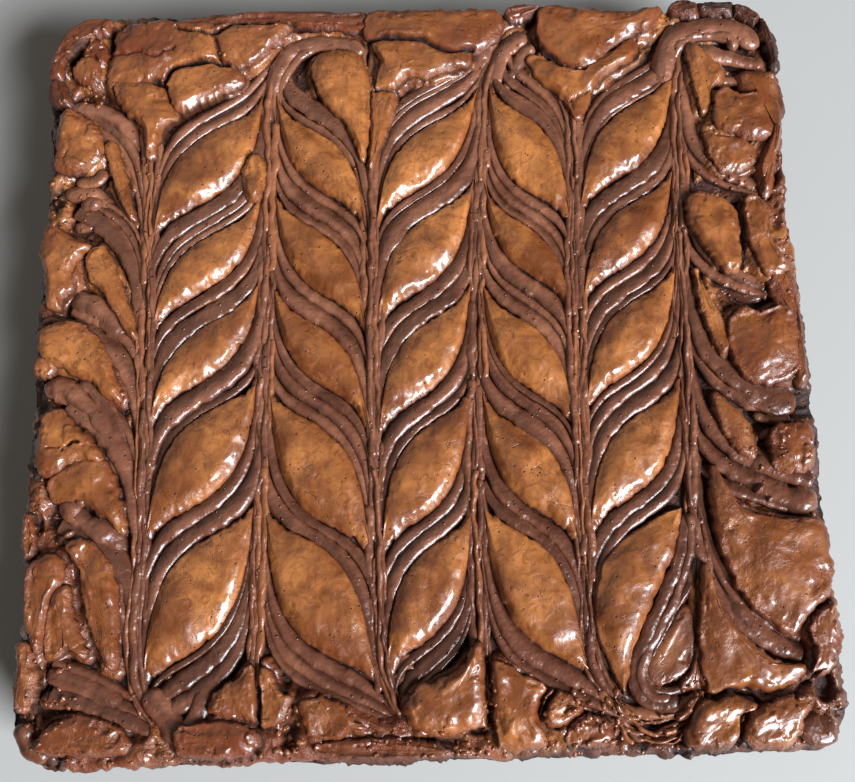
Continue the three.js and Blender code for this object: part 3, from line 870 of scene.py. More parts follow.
    dict(at=[(86.3, 40), (90, 42), (93, 38), (92.5, 33), (93.5, 28), (96.5, 22.5), (93.5, 19.5), (90, 20.5),
         (88, 26), (86.3, 32)], lift=1.4, slope=(0.05, 0), red=0.35),
    dict(at=[(77.5, 63), (80, 60), (85, 59), (89, 57.5), (91.5, 54.5), (90, 51.5), (86, 49.5), (81, 50),
         (78.3, 55)], lift=1.0, red=0.2),
    dict(at=[(80.3, 63.5), (81, 70), (84, 73), (88, 71.3), (93, 71.5), (95, 67), (96.5, 60.5), (94.5, 58.5),
         (91, 58), (86, 59.7), (82, 61.5)], lift=1.9, slope=(0, 0.03), red=0.55),
    dict(at=[(75.5, 88), (79, 86), (82, 82.5), (85, 79), (83.5, 76), (81, 74), (80.3, 69), (78, 66.5),
         (76.5, 72), (75.3, 80)], lift=0.7, red=0.1),
    dict(at=[(88, 78), (93, 79), (98, 78.5), (100, 74), (99.8, 66), (98, 58), (96.5, 52), (95, 45),
         (92.7, 42), (91.5, 46), (91, 51), (93.5, 56), (95.6, 61), (95.6, 67), (94, 72), (89, 74)],
         lift=0.6, shoulder=(4.0, 2.6), dome=1.6, red=0.65, bent=True),
    dict(at=[(92, 23), (96.5, 21), (98.6, 12), (99, 2), (98.6, -9), (95.6, -8.5), (95.8, 2), (94.4, 10),
         (91.5, 15)], lift=0.5, shoulder=(2.6, 1.8), red=0.8, bent=True),
]

# Cracks and gaps in the crust: where they run, how wide and how deep
cracks = [
    dict(path=[(-72, 79), (-69.5, 77.5), (-67, 81.5), (-62.5, 83.3), (-57, 84.3), (-52, 83)], width=1.7,
         depth=2.4),
    dict(path=[(-84, 86), (-77, 87), (-71, 85.8), (-67, 88)], width=0.9, depth=0.9),
    dict(path=[(-66, 94.6), (-61, 93), (-55, 92.6), (-50, 95.2), (-42, 95.2), (-34, 95.8)], width=1.3,
         depth=1.8),
    dict(path=[(-56, 93), (-55, 88.5), (-53.5, 84.5)], width=0.8, depth=1.0),
    dict(path=[(-13, 90.2), (-4, 90.4), (1, 90), (5, 87.6), (10, 86), (15, 86.8)], width=1.4, depth=2.2),
    dict(path=[(-11.5, 75), (-8, 75.3), (-5, 74.4)], width=1.0, depth=1.6),
    dict(path=[(33, 88.5), (36, 85.5), (39, 82.5), (42, 80.7), (46, 80.5)], width=1.4, depth=2.0),
    dict(path=[(-87.4, -16.4), (-86.6, -17.4), (-86.2, -18.8)], width=1.3, depth=1.4),
    dict(path=[(-89.2, -22.2), (-88.2, -21.2), (-86.6, -21.4)], width=0.9, depth=1.2),
    dict(path=[(-94.5, -22.8), (-92, -22.6), (-90.4, -23.4)], width=0.6, depth=0.7),
    dict(path=[(65, -86), (68, -86.8), (72, -85), (76, -87), (79, -88)], width=1.5, depth=2.4),
    dict(path=[(75, -90.5), (74, -94), (72.6, -98)], width=1.3, depth=2.0),
    dict(path=[(85.4, 43), (85.6, 34), (85.3, 27), (84.5, 20)], width=1.5, depth=2.0),
    dict(path=[(-41.8, -76), (-41.3, -83), (-41.2, -91)], width=1.2, depth=2.0),
    dict(path=[(30, -84), (27.5, -87), (26.4, -90)], width=1.3, depth=2.0),
    dict(path=[(14, -73), (14, -82), (14.5, -92)], width=2.0, depth=2.0),
    dict(path=[(47, 74), (42, 71), (40, 72)], width=0.6, depth=0.8),
    dict(path=[(87, -87), (91, -84), (93, -81.5)], width=1.2, depth=1.8),
]


# Soft spread that was not combed into rows: the path of each roll, its width, its height, how
# far it is lifted and how much crust is mixed into it
softRolls = [
    # the loop on the back right corner and its two inner strokes
    dict(path=[(68, 73), (68.3, 82), (70, 88), (74, 91.8), (80, 93.3), (87, 93), (92, 90.5), (94, 86.5)],
         width=6.4, height=4.4, dive=2.4, lift=1.2),
    dict(path=[(70, 78), (72, 86), (76, 90.5), (82, 90.8), (87, 89.8), (88.5, 86)], width=3.4, height=3.6,
         dive=2.4, lift=1.6),
    dict(path=[(77, 86.5), (83, 84.5), (90, 82.8), (96.5, 81.5)], width=5.2, height=4.0, lift=1.5),
    dict(path=[(83, 77), (88, 77), (90, 75)], width=3.0, height=2.4, lift=0.8),
    # loops at the back of the second and fourth lines
    dict(path=[(-41, 70), (-39, 81), (-34.5, 88.6), (-27, 91), (-19, 90.3), (-14.5, 87)], width=4.4,
         height=3.4, dive=2.4, lift=0.9),
    dict(path=[(-38.5, 70), (-36.5, 80), (-32.5, 86.5), (-28, 89), (-22, 89.2)], width=3.2, height=3.0,
         dive=2.4, lift=0.8),
    dict(path=[(15.5, 78), (18.5, 88), (22, 93.5), (27, 96.8), (31, 96)], width=5.0, height=3.4, dive=2.4,
         lift=1.0),
    dict(path=[(19, 74), (22.5, 84), (26.5, 89.5), (31, 92)], width=5.4, height=3.4, dive=2.4, lift=0.9),
    dict(path=[(23, 73), (26, 80), (29.5, 86), (33, 88.8)], width=3.6, height=3.0, dive=2.4, lift=0.8),
    # the hook of the last row between the fifth and sixth lines, in three folds, and a strand
    # of crust round its foot
    dict(path=[(65, -42), (63, -52), (60, -59.5), (56.3, -66.5), (52.7, -73.5), (50.3, -79), (49.6, -83.5),
         (51.5, -87), (55.5, -88.2), (60, -87)], width=3.6, height=3.2, lift=0.3),
    dict(path=[(66, -42), (65, -53), (61.8, -61), (57.5, -68.5), (53.8, -75), (51.4, -80), (51.3, -84),
         (54, -86.6), (58, -86.6)], width=3.0, height=3.0, lift=0.6),
    dict(path=[(67, -44), (66.4, -56), (63.3, -62), (58.5, -69.5), (54.6, -76), (52.4, -80.5),
         (53.3, -83.8), (57, -85.3), (62, -84.5)], width=2.4, height=2.6, lift=0.3),
    dict(path=[(40.5, -84), (44, -87.6), (48.5, -89.8), (54, -90.3), (59.5, -89), (64.5, -86)], width=3.0,
         height=2.8, lift=0.6, tint=0.55),
    # ends of rows on the right side
    dict(path=[(76, -5), (82, -10.5), (89, -13.5), (96, -14.5)], width=8.4, height=4.0, dive=2.4, lift=0.4),
    dict(path=[(84, -17.5), (89, -18.8), (94, -18.5)], width=3.0, height=3.0, lift=0.8),
    dict(path=[(95, -19), (96.6, -21), (97.5, -23)], width=3.0, height=4.0, lift=1.6),
    dict(path=[(78, -26.5), (86, -30.8), (92, -33.5), (98, -35)], width=4.6, height=3.8, dive=2.4,
         lift=1.3),
    dict(path=[(77, -31), (84, -35.3), (90, -38.8), (95, -39.2), (98, -37)], width=7.0, height=4.6,
         dive=2.4, lift=0.8),
    dict(path=[(82.8, -35.8), (83.6, -36.6), (84.4, -37.3)], width=3.6, height=4.4, lift=1.9),
    dict(path=[(85.5, -38.8), (86.9, -39.9)], width=2.4, height=3.0, lift=1.4),
    dict(path=[(72, -58), (76, -66.5), (82, -73), (88.5, -77)], width=5.0, height=3.2, dive=2.4, lift=0.8),
    dict(path=[(78, 46), (84, 43.5), (90, 45), (94, 48)], width=4.5, height=2.4, dive=2.4, lift=0),
    dict(path=[(80, 20), (85, 15.5), (90, 15)], width=4.6, height=2.6, dive=2.4, lift=0.2),
    dict(path=[(89, -92), (92.5, -95), (97, -93)], width=7.5, height=4.2, lift=0.6),
    # rim on the back right
    dict(path=[(80, 97.6), (88, 97.6), (94, 95), (97.5, 90), (98.6, 84)], width=3.0, height=3.2, lift=-0.2,
         tint=0.1),
    dict(path=[(-68, -82), (-63.5, -88), (-60, -93), (-58.5, -97.5)], width=7.0, height=3.0, lift=0.9),
    dict(path=[(-50, -79), (-55, -86), (-57.5, -92), (-58.5, -97)], width=6.0, height=3.0, lift=0.7),
    # ends of rows on the left side
    dict(path=[(-97, -8.5), (-94.5, -7.2), (-91, -8), (-88, -10.5)], width=8.6, height=5.6, lift=0.9,
         tint=0.12),
    dict(path=[(-91, -40), (-88.5, -38.3), (-86, -38.8)], width=6.8, height=5.0, lift=1.2, tint=0.12),
    dict(path=[(-88, -36.6), (-85, -35.6), (-82.3, -37.4)], width=3.4, height=3.4, lift=1.6, tint=0.1),
    dict(path=[(-89.3, -43.5), (-88, -45.5)], width=3.2, height=3.2, lift=1.4, tint=0.2),
    dict(path=[(-97, 70), (-92, 71.5), (-86, 70.5), (-80, 66.5), (-76, 59)], width=4.6, height=3.0,
         dive=-2.2, lift=0.9),
    dict(path=[(-92, 50), (-87, 50.5), (-84, 53.5)], width=4.0, height=3.0, lift=1.2, tint=0.3),
    dict(path=[(-95, 46), (-90, 47), (-86, 46), (-83, 42)], width=4.4, height=3.4, dive=-2.2, lift=0.9,
         tint=0.1),
    dict(path=[(-90, 42.5), (-87.5, 44.2), (-85.5, 42.5)], width=4.2, height=3.6, lift=1.3),
    dict(path=[(-92, 37), (-86, 38), (-80, 32), (-76, 24)], width=4.0, height=2.8, dive=-2.2, lift=0.5),
    dict(path=[(-92, 16), (-86, 15.5), (-80, 10), (-76, 1)], width=6.4, height=3.2, dive=-2.2, lift=0.6),
    dict(path=[(-99, 11.5), (-93, 11.3), (-87, 8.5), (-82, 2)], width=2.6, height=2.4, dive=-2.2, lift=0.6),
    dict(path=[(-94.5, -6.5), (-90, -8.5), (-84, -14), (-80, -21), (-76.5, -30)], width=5.6, height=3.8,
         dive=-2.2, lift=0.9),
    dict(path=[(-88, -4.5), (-82, -11), (-78, -17), (-75.5, -26)], width=3.0, height=2.8, dive=-2.2,
         lift=0.6),
    dict(path=[(-89.5, -39), (-84, -42), (-79, -45), (-75.5, -51)], width=6.0, height=3.8, dive=-2.2,
         lift=0.9),
    dict(path=[(-93, -78), (-86, -79.5), (-79, -83), (-70, -91)], width=5.0, height=3.0, dive=-2.2,
         lift=0.7),
    dict(path=[(-94, -83), (-89, -84.5), (-84, -83.5)], width=4.4, height=2.8, lift=0.5),
    dict(path=[(-97.5, -89), (-96, -94), (-91, -97)], width=5.0, height=3.4, lift=0, tint=0.1),
]


crackLines, rollLines = ([smoothCurve(item["path"], 36) for item in items] for items in (cracks, softRolls))
plateLoops = [smoothCurve(item["at"], 60, closed=True) for item in rimPlates]


# Which places are within reach of a line, along x and along y, and how far from it those are
def nearTo(x, y, line, reach):
    low, high = line.min(0) - reach, line.max(0) + reach
    near = (x > low[0]) & (x < high[0]) & (y > low[1]) & (y < high[1])
    return near, np.hypot(x[near][:, None] - line[:, 0], y[near][:, None] - line[:, 1]).min(1)


# How deep the cracks cut at each place: the full depth on a line, easing out to its width
def crackDepth(x, y):
    depth = np.zeros(np.broadcast(x, y).shape)
    x, y = x + 0.5 * noise(x, y, 1.8, 71), y + 0.5 * noise(x, y, 1.8, 72)
    for crack, line in zip(cracks, crackLines):
        near, away = nearTo(x, y, line, crack["width"])
        gap = 1 - ease(0.15, 1.0, away / (crack["width"] / 2 + 0.3))
        depth[near] = np.maximum(depth[near], crack["depth"] * gap)
    return depth


# The middle line of a bent outline: halfway between its two sides, each measured from one tip
# to the other, without the parts that are close to the tips
def bentSpine(loop, along):
    start, n = int(np.argmax(along)), len(loop)
    turned = np.roll(loop, -start, axis=0)
    tip = int(np.argmin(np.roll(along, -start)))
    there, back = np.arange(tip + 1) / tip, (n - np.arange(tip, n + 1)) / (n - tip)
    sides = turned[:tip + 1], np.concatenate([turned[tip:], turned[:1]])
    u = np.clip(np.concatenate([there, back[1:-1]]), 0.16, 0.84)
    middle = [0.5 * (np.interp(u, there, sides[0][:, i]) + np.interp(u, back[::-1], sides[1][::-1, i]))
              for i in (0, 1)]
    return np.roll(np.stack(middle, -1), start, axis=0)


# Which way each point of a closed loop faces: outwards, square to the line between its neighbours
def loopFacing(loop):
    before, after = np.roll(loop, 1, axis=0), np.roll(loop, -1, axis=0)
    tangent = after - before
    area = np.sum(loop[:, 0] * after[:, 1] - loop[:, 1] * after[:, 0])
    return np.stack([tangent[:, 1], -tangent[:, 0]], -1) / np.hypot(*tangent.T)[:, None] * np.sign(area)


# The point of a plate's spine that each point of its outline shrinks to, and the middle one.
# The spine lies along the longer way, and is as long as the outline is longer than wide.
def plateSpine(loop, bent):
    centre = loop.mean(0)
    axes = np.linalg.eigh(np.cov((loop - centre).T))[1]
    across, along = (loop - centre) @ axes[:, 0], (loop - centre) @ axes[:, 1]
    if bent:
        spine = bentSpine(loop, along)
        return spine, spine[np.argmin(np.abs(along))]
    reach = max(np.abs(along).max() - np.abs(across).max(), 0) * 0.9
    return centre + np.clip(along, -reach, reach)[:, None] * axes[:, 1], centre


# Marks of a plate: dark at its foot and in cracks as painted shade, and dark at the slab's edge, redder
# towards its own edge and at the back of the slab, and rough where it is torn
def plateMarks(x, y, e, inset, cut, seed, red, dark, dome):
    foot = 0.75 * (1 - ease(0.02, 0.3, e)) * (0.5 + 0.5 * ease(0.5, 3, inset))
    wall = np.maximum(np.maximum(foot, ease(0.5, 1.4, cut)), dark) + 0.8 * edgeShade(x, y)
    blush = 0.8 * red + 0.35 * (1 - ease(0.1, 2.0, e)) + 0.45 * np.clip(noise(x, y, 8, seed + 3), 0, 1)
    blush = blush + 0.3 * ease(70, 88, y)
    torn = 0.8 * (1 - ease(0.2, 1.8, e)) * ease(-0.6, 0.4, noise(x, y, 5, seed + 5))
    rough = np.clip(0.6 * red - 0.05 + 0.5 * noise(x, y, 9, seed + 4) + torn, 0.05, 1) * min(dome + 0.3, 1)
    return dict(wall=np.clip(wall, 0, 1), red=np.clip(blush, 0, 1), rough=rough)


# A plate of crust: rings shrink from its ragged outline to its spine. Its edge is a quarter
# round, broader where it faces the front right, and its middle swells and slopes.
def addPlate(store, at, seed, lift=0.0, slope=(0.0, 0.0), red=0.0, shoulder=plate["shoulder"], dome=1.0,
             dark=0.0, bent=False):
    loop = smoothCurve(at, plate["around"], closed=True)
    facing, (spine, centre) = loopFacing(loop), plateSpine(loop, bent)
    radius = np.hypot(*(loop - spine).T)
    # two rings close the plate below, the others go from the edge to the middle
    inward = crowded(2 * plate["rings"])[:plate["rings"]] * 2 * 0.98
    share = np.concatenate([[0.1, 0.95], 1 - inward])[:, None]
    ragged = plate["grow"] + plate["ragged"] * roughNoise(*loop.T, 2.2, seed, 4, 0.7)
    near = np.clip(share / 0.4, 0, 1)      # the innermost rings close in on the centre
    x, y = (centre[i] + near * (spine - centre)[:, i] + share * (loop - spine)[:, i]
            + facing[:, i] * ragged * share ** 9 for i in (0, 1))
    e, inset = (1 - share) * radius, insetOf(x, y)
    front, back = shoulder
    lit = ease(-0.3, 0.7, facing @ np.array([0.7, -0.7]))
    edge = 1 - np.clip(e / np.minimum(back + (front - back) * lit, 0.8 * radius), 0, 1)
    swell = 1 - np.clip((share - 0.4) / 0.6, 0, 1) ** 2
    swell = swell * np.clip(np.median(radius), 1.0, plate["domeWidth"]) / plate["domeWidth"]
    z = slab["floor"] + plate["lift"] + lift + plate["wall"] * np.sqrt(1 - edge ** 2)
    z = z + plate["dome"] * dome * swell + slope[0] * (x - centre[0]) + slope[1] * (y - centre[1])
    bumps = plate["bumps"] * noise(x, y, 6.5, seed + 1)
    bumps = bumps + plate["grain"] * roughNoise(x, y, 3.2, seed + 2, 3, 0.5)
    z = z + bumps * ease(0, 1.6, e) * min(dome + 0.2, 1)
    # torn layers near the edge: low steps along the zero lines of a rough noise
    layers = ease(-0.04, 0.08, roughNoise(x, y, 6.5, seed + 6, 4, 0.6)) - 0.5
    layers = layers * np.clip(0.25 + 1.3 * red, 0, 1)
    layers = layers * ease(0.2, 1.2, e) * ease(6, 3, e) * ease(0.2, 0.5, share)
    cut = crackDepth(x, y) * ease(0.0, 0.5, e + 0.2)
    z = z + plate["layer"] * layers - cut
    low, high = plate["sunk"]
    z[:2] = slab["floor"] - high - (low - high) * ease(0.5, 3, inset[:2])
    store.add(np.stack([x, y, z], -1), **plateMarks(x, y, e, inset, cut, seed, red, dark, dome))


# How dark the outermost crust is at each place: it fades inwards, in patches
def edgeShade(x, y):
    reach = insetOf(x, y) + 1.2 * noise(x, y, 5, 73)
    return 0.6 * (1 - ease(0.6, 4.2, reach)) * ease(-0.8, 0.2, noise(x, y, 14, 74))


# How far inside the outline a place is: the distance to a rounded square
def insetOf(x, y):
    radius = slab["cornerRadius"]
    qx, qy = np.abs(x) - slab["half"] + radius, np.abs(y) - slab["half"] + radius
    outside = np.hypot(np.maximum(qx, 0), np.maximum(qy, 0))
    return radius - outside - np.minimum(np.maximum(qx, qy), 0)


rim = dict(
    points=1300,
    steps=44, inner=25.0,
    height=2.3,          # how far the rim stands above the floor of the marbling
    depth=dict(back=11.0, front=12.0, sides=8.0),    # how far in it goes
    shoulder=3.4,        # radius of its outer edge
    lumps=0.5, grain=0.4,
    torn=0.7,            # height of the steps where it is torn
    hollows=1.1,
    skirt=2.4, step=1.3, # width of the crust's rise round a plate, and the plate's edge above it
)


# Holes in the rim: place, half sizes and depth
holes = [
    dict(at=(95, -85), size=(3.2, 3.8), depth=7), dict(at=(-94, 87), size=(2.2, 4.0), depth=5),
    dict(at=(86.5, -27), size=(2.0, 4.5), depth=5), dict(at=(-69.5, 78), size=(1.2, 1.0), depth=3),
    dict(at=(-84, 92), size=(1.0, 5.0), depth=4), dict(at=(88, 45), size=(5.0, 2.0), depth=2.5),
    dict(at=(29.5, -92), size=(1.6, 1.2), depth=3), dict(at=(11, -93.5), size=(2.6, 1.0), depth=3),
    dict(at=(-90, 75), size=(4.5, 2.0), depth=2.2), dict(at=(-93, -84), size=(4.5, 5.0), depth=2.0),
    dict(at=(-98.5, -90), size=(2.0, 8.0), depth=1.6), dict(at=(-97.5, 45), size=(3.0, 5.0), depth=2.0),
    dict(at=(-97.5, -42), size=(1.8, 4.5), depth=1.6), dict(at=(-97.5, -10), size=(2.0, 4.5), depth=1.6),
    dict(at=(-96, 66), size=(1.6, 7.0), depth=1.6), dict(at=(96, -16), size=(3.0, 2.6), depth=2.0),
    dict(at=(98.5, -40), size=(1.8, 7.0), depth=1.8), dict(at=(92, -46), size=(4.0, 1.4), depth=2.0),
    dict(at=(88, 14.5), size=(7.0, 2.2), depth=2.2), dict(at=(-52, -92.5), size=(8.0, 1.6), depth=1.6),
    dict(at=(-34, -93), size=(2.6, 4.0), depth=1.8), dict(at=(37, -91), size=(7.0, 2.0), depth=1.6),
    dict(at=(0, -95.5), size=(9.0, 1.4), depth=1.4), dict(at=(-66, 99), size=(10.0, 1.0), depth=1.4),
    dict(at=(86, 95), size=(10.0, 1.6), depth=2.0), dict(at=(85, 75.5), size=(5.0, 1.6), depth=2.2),
    dict(at=(54.5, -93.5), size=(12.5, 5.2), depth=1.8), dict(at=(60, -99), size=(3.0, 0.8), depth=1.5),
]


# How far holes and rolls of spread sink the rim at each place, and how much painted shade darkens the holes
def rimGives(x, y):
    depth, dark = 0 * x, 0 * x
    for hole in holes:
        away = np.hypot((x - hole["at"][0]) / hole["size"][0], (y - hole["at"][1]) / hole["size"][1])
        inside = 1 - ease(0.4, 1.1, away + 0.25 * noise(x, y, 2, 77))
        depth, dark = np.maximum(depth, hole["depth"] * inside), np.maximum(dark, inside)
    for item, line in zip(softRolls, rollLines):
        reach = item["width"] / 2
        near, away = nearTo(x, y, line, reach + 1.3)
        give = max(2.6 - item["lift"], 0) * (1 - ease(reach - 0.5, reach + 1.3, away))
        depth[near] = np.maximum(depth[near], give)
    return depth, dark


# How far the rim rises round the plates: to just below their tops, falling off within a skirt's width of
# their outlines; and how near each place is to one of them, which sets the painted shade round them
def rimSkirts(x, y):
    rise, shadeNearPlates = 0 * x, 0 * x
    for item, loop in zip(rimPlates, plateLoops):
        near, away = nearTo(x, y, loop, rim["skirt"])
        top = plate["lift"] + item.get("lift", 0) + plate["wall"] - rim["step"]
        rise[near] = np.maximum(rise[near], top * (1 - ease(0.4, 1, away / rim["skirt"])))
        shadeNearPlates[near] = np.maximum(shadeNearPlates[near], 1 - ease(0.6, 1.7, away))
    return rise, shadeNearPlates


# Height of the crust that the plates lie in: raised at the rim, falling to the marbling's floor, with lumps,
# and cut by the cracks; with it the cracks' depth and the painted shade round the plates and in holes, which
# also sinks the crust a little
def rimHeight(x, y):
    inset = insetOf(x, y)
    ends = np.where(y > 0, rim["depth"]["back"], rim["depth"]["front"])
    deep = np.where(np.abs(y) > np.abs(x), ends, rim["depth"]["sides"]) + 1.8 * noise(x, y, 11, 61)
    z = slab["floor"] - 0.7 + (rim["height"] + 0.7) * (1 - ease(deep - 2.5, deep + 2.5, inset))
    rise, shadeNearPlates = rimSkirts(x, y)
    z = np.maximum(z, slab["floor"] + rise)
    z = z + rim["lumps"] * noise(x, y, 6.5, 62) + rim["grain"] * roughNoise(x, y, 2.6, 63, 3, 0.6)
    z = z + rim["torn"] * (ease(-0.04, 0.08, roughNoise(x, y, 5, 64, 4, 0.6)) - 0.5)
    sunk, dark = rimGives(x, y)
    z = z - rim["hollows"] * ease(0.35, 0.9, noise(x, y, 5, 65)) - sunk
    edge = 1 - np.clip(inset / rim["shoulder"], 0, 1)
    cut = crackDepth(x, y)
    shade = np.maximum(0.7 * shadeNearPlates * ease(-0.3, 0.6, noise(x, y, 6, 66)), 0.9 * dark)
    return z - rim["shoulder"] * (1 - np.sqrt(1 - edge ** 2)) - cut - 0.7 * shade, cut, shade


# The rim's crust: loops from below its outer edge, over it and inwards, pushed out unevenly
def makeRim():
    below = [(4.0, 3.0), (0.6, 2.4), (0.1, 1.9)]     # insets of the lowest loops and how far down
    steps = rim["inner"] * np.linspace(0.008, 1, rim["steps"]) ** 1.15
    insets = np.concatenate([[inset for inset, _ in below], [0.05], steps, [rim["inner"] + 0.5]])
    rings, paintedShades, reds = [], [], []
    for n, inset in enumerate(insets):
        place, facing = outlineLoop(inset, rim["points"])
        x, y = place.T
        push = 0.7 * noise(x, y, 9, 67) + 0.6 * roughNoise(x, y, 2.8, 68, 3, 0.7) - dentDepth(x, y)
        push = push * (inset < 3) * (1 - inset / 3)
        z, cut, shade = rimHeight(x, y)
        if n < len(below):
            z = 0 * z + slab["floor"] - below[n][1]
        if n == len(insets) - 1:
            z = 0 * z + slab["floor"] - 3
        x, y = x + push * facing[:, 0], y + push * facing[:, 1]
        rings.append(np.stack([x, y, z], -1))
        # painted shade: dark below the floor, round the plates, in holes and in cracks; also darker at the
        # slab's edge
        low = (1 - ease(-0.9, 0.9, z - slab["floor"])) * (0.5 + 0.5 * ease(0.4, 2.5, inset))
        paintedShades.append(np.clip(np.maximum(np.maximum(low, shade), ease(0.3, 1.2, cut)) + edgeShade(x, y), 0, 1))
        reds.append(np.clip(0.6 + 0.5 * noise(x, y, 8, 69) - 0.2 * np.sign(y), 0.1, 1))
    crust = Rings(*crustMarks)
    crust.add(np.array(rings), wall=np.array(paintedShades), red=np.array(reds), rough=1.0)
    makePiece("rimBase", crust, crustMaterial)


makeRim()
rimCrust = {name: Rings(*crustMarks) for name in ("backLeft", "backRight", "frontLeft", "frontRight")}
for n, item in enumerate(rimPlates):
    x, y = np.mean(item["at"], axis=0)
    corner = ("back" if y > 0 else "front") + ("Right" if x > 0 else "Left")
    addPlate(rimCrust[corner], seed=300 + 5 * n, **item)
for name, plates in rimCrust.items():
    makePiece(name + "Crust", plates, crustMaterial)


# A roll of spread: a tube along its path that swells out of rounded ends, and comes up from
# below at its start, or at its end where dive is negative
def addRoll(store, seed, path, width, height, lift, tint=0.0, uneven=0.14, around=18, dive=0.0):
    length = lengthAlong(smoothCurve(path, 200))[-1]
    n = int(np.clip(length / 0.7, 24, 110))
    place = smoothCurve(path, n)
    along = np.linspace(0, length, n)
    x = place[:, 0] + 2.2 * uneven * noise(*place.T, 3, seed)
    y = place[:, 1] + 2.2 * uneven * noise(*place.T, 3, seed + 1)
    nearEnd = np.clip(np.minimum(along, length - along) / (width * 0.55), 0, 1)
    swell = np.sqrt(1 - (1 - nearEnd) ** 2) * 0.98 + 0.02
    swell = swell * (1 + uneven * roughNoise(along, 0 * along, 5, seed + 2, 3, 0.7))
    fromDive = along if dive > 0 else length - along
    z = slab["floor"] + lift + 0.35 * noise(x, y, 6, seed + 3) - abs(dive) * (1 - ease(0, 11, fromDive))
    rings, angle = tubeRings(x, y, z, width / 2 * swell, height / 2 * swell, around, 0.04, seed, 0.12)
    streak = 0.45 + 0.4 * np.cos(3 * angle + seed) + 0.3 * noise(x, y, 4, seed + 4)[:, None]
    # painted shade on the underside of the roll
    store.add(rings, streak=np.clip(streak, 0, 1), low=ease(0.5, -0.4, np.sin(angle)), tint=tint)


# Thin torn layers under the hook of the last row: strips that stand side by side on arcs of
# growing ellipses, each broken into pieces
layered = dict(
    centre=(54.5, -80),
    across=(11.3, 0.25), down=(11.4, 0.8),       # half sizes of the first ellipse, and their growth
    turn=(210, 334), arcs=9, points=90,
    pieces=(14, 44), overlap=14,                 # in points along an arc
    width=(0.6, 1.5), height=(1.8, 2.8), lift=(0.6, 2.4),
)
rollSpread = Rings(*spreadMarks)
for n in range(layered["arcs"]):
    turn = np.radians(np.linspace(*layered["turn"], layered["points"]))
    across, down = (layered[key][0] + n * layered[key][1] for key in ("across", "down"))
    curve = np.array(layered["centre"]) + np.stack([across * np.cos(turn), down * np.sin(turn)], -1)
    start = int(rng.integers(0, 10))
    while start < layered["points"] - 8:
        stop = min(start + int(rng.integers(*layered["pieces"])), layered["points"])
        piece = curve[start:stop:5] + rng.uniform(-0.45, 0.45, 2)
        width, height, lift = (rng.uniform(*layered[key]) for key in ("width", "height", "lift"))
        addRoll(rollSpread, 4000 + 100 * n + start, piece, width, height, lift - 0.1 * n,
                tint=rng.uniform(0.1, 1.0), uneven=0.42, around=9)
        start = stop - int(rng.integers(0, layered["overlap"]))
for n, item in enumerate(softRolls):
    addRoll(rollSpread, 700 + 9 * n, **item)
makePiece("rollSpread", rollSpread, spreadMaterial)


# The skewer's own lines: strands side by side, drawn out of spread and crust together, each
# starting and ending at its own place
drawn = dict(
    offsets=(-2.0, -0.9, 0.2, 1.1, 2.1),
    ends=(-92, 92), stretch=36.0, last=78,       # no stretch starts beyond the last y
    width=1.9, height=2.4, lift=0.75, wander=0.7,
)
lineSpread = Rings(*spreadMarks)
for k in range(lastColumn):
    for n, offset in enumerate(drawn["offsets"]):
        y = drawn["ends"][0] + rng.uniform(0, 10)
        while y < drawn["last"]:
            yEnd = min(y + drawn["stretch"] * rng.uniform(0.5, 1.9), drawn["ends"][1])
            ys = np.linspace(y, yEnd, 8)
            xs = lineX(k, ys) + offset * rng.uniform(0.6, 1.05)
            xs = xs + drawn["wander"] * noise(ys, 0 * ys, 13, 50 + 7 * k + n)
            addRoll(lineSpread, 2000 + int(rng.integers(1000)), np.stack([xs, ys], -1),
                    width=drawn["width"] * rng.uniform(0.5, 1.3),
                    height=drawn["height"] * rng.uniform(0.8, 1.1),
                    lift=drawn["lift"] + rng.uniform(-0.6, 0.35) - 0.2 * abs(offset), uneven=0.2, around=12,
                    tint=float(np.clip(rng.normal(0.0, 0.35), 0, 0.8)))
            y = yEnd + rng.uniform(-6, 4)
makePiece("lineSpread", lineSpread, spreadMaterial)


# Loose crumbs and flakes: boxes they lie in, how many, how large, how flat, how red
rubble = [
    dict(area=(-93, -86, 72, 78), count=26, size=1.3, red=0.8),
    dict(area=(-96, -84, 86, 92), count=12, size=1.0, red=0.7),
    dict(area=(-54, -52, 85, 87), count=2, size=1.5, red=0.1),
    dict(area=(-37, -31, -97, -86), count=26, size=1.3, red=0.5),
    dict(area=(12.5, 15.5, -95, -75), count=24, size=0.9, red=0.5),
    dict(area=(26, 46, -97, -84), count=44, size=1.3, red=0.7),
    dict(area=(60, 66.5, -90, -82), count=16, size=0.8, red=0.5),
    dict(area=(77, 94, 41, 48), count=30, size=0.7, red=0.8),
    dict(area=(77, 93, 11, 19), count=36, size=0.7, red=0.9),
    dict(area=(82, 90, -34, -20), count=16, size=0.9, red=0.7),
    dict(area=(-98, -88, 36, 46), count=22, size=1.0, red=0.6),
    dict(area=(-98, -90, -48, -36), count=22, size=1.0, red=0.6),
    dict(area=(-99, -84, -98, -76), count=40, size=1.0, red=0.7),
    dict(area=(-77, -70, 50, 60), count=14, size=0.6, red=0.2),
    dict(area=(84, 98, -98, -80), count=26, size=0.8, red=0.9),
    dict(area=(-16, 14, -99, -92), count=40, size=1.0, red=0.7),
]
rimCrumbs = dict(count=420, inset=(0.8, 5.5), size=0.9, red=0.75)
falling = dict(start=0.06, lowest=0.022)     # where crumbs drop from, and below which none stay, in metres
crumbGrid = dict(rings=4, around=6)


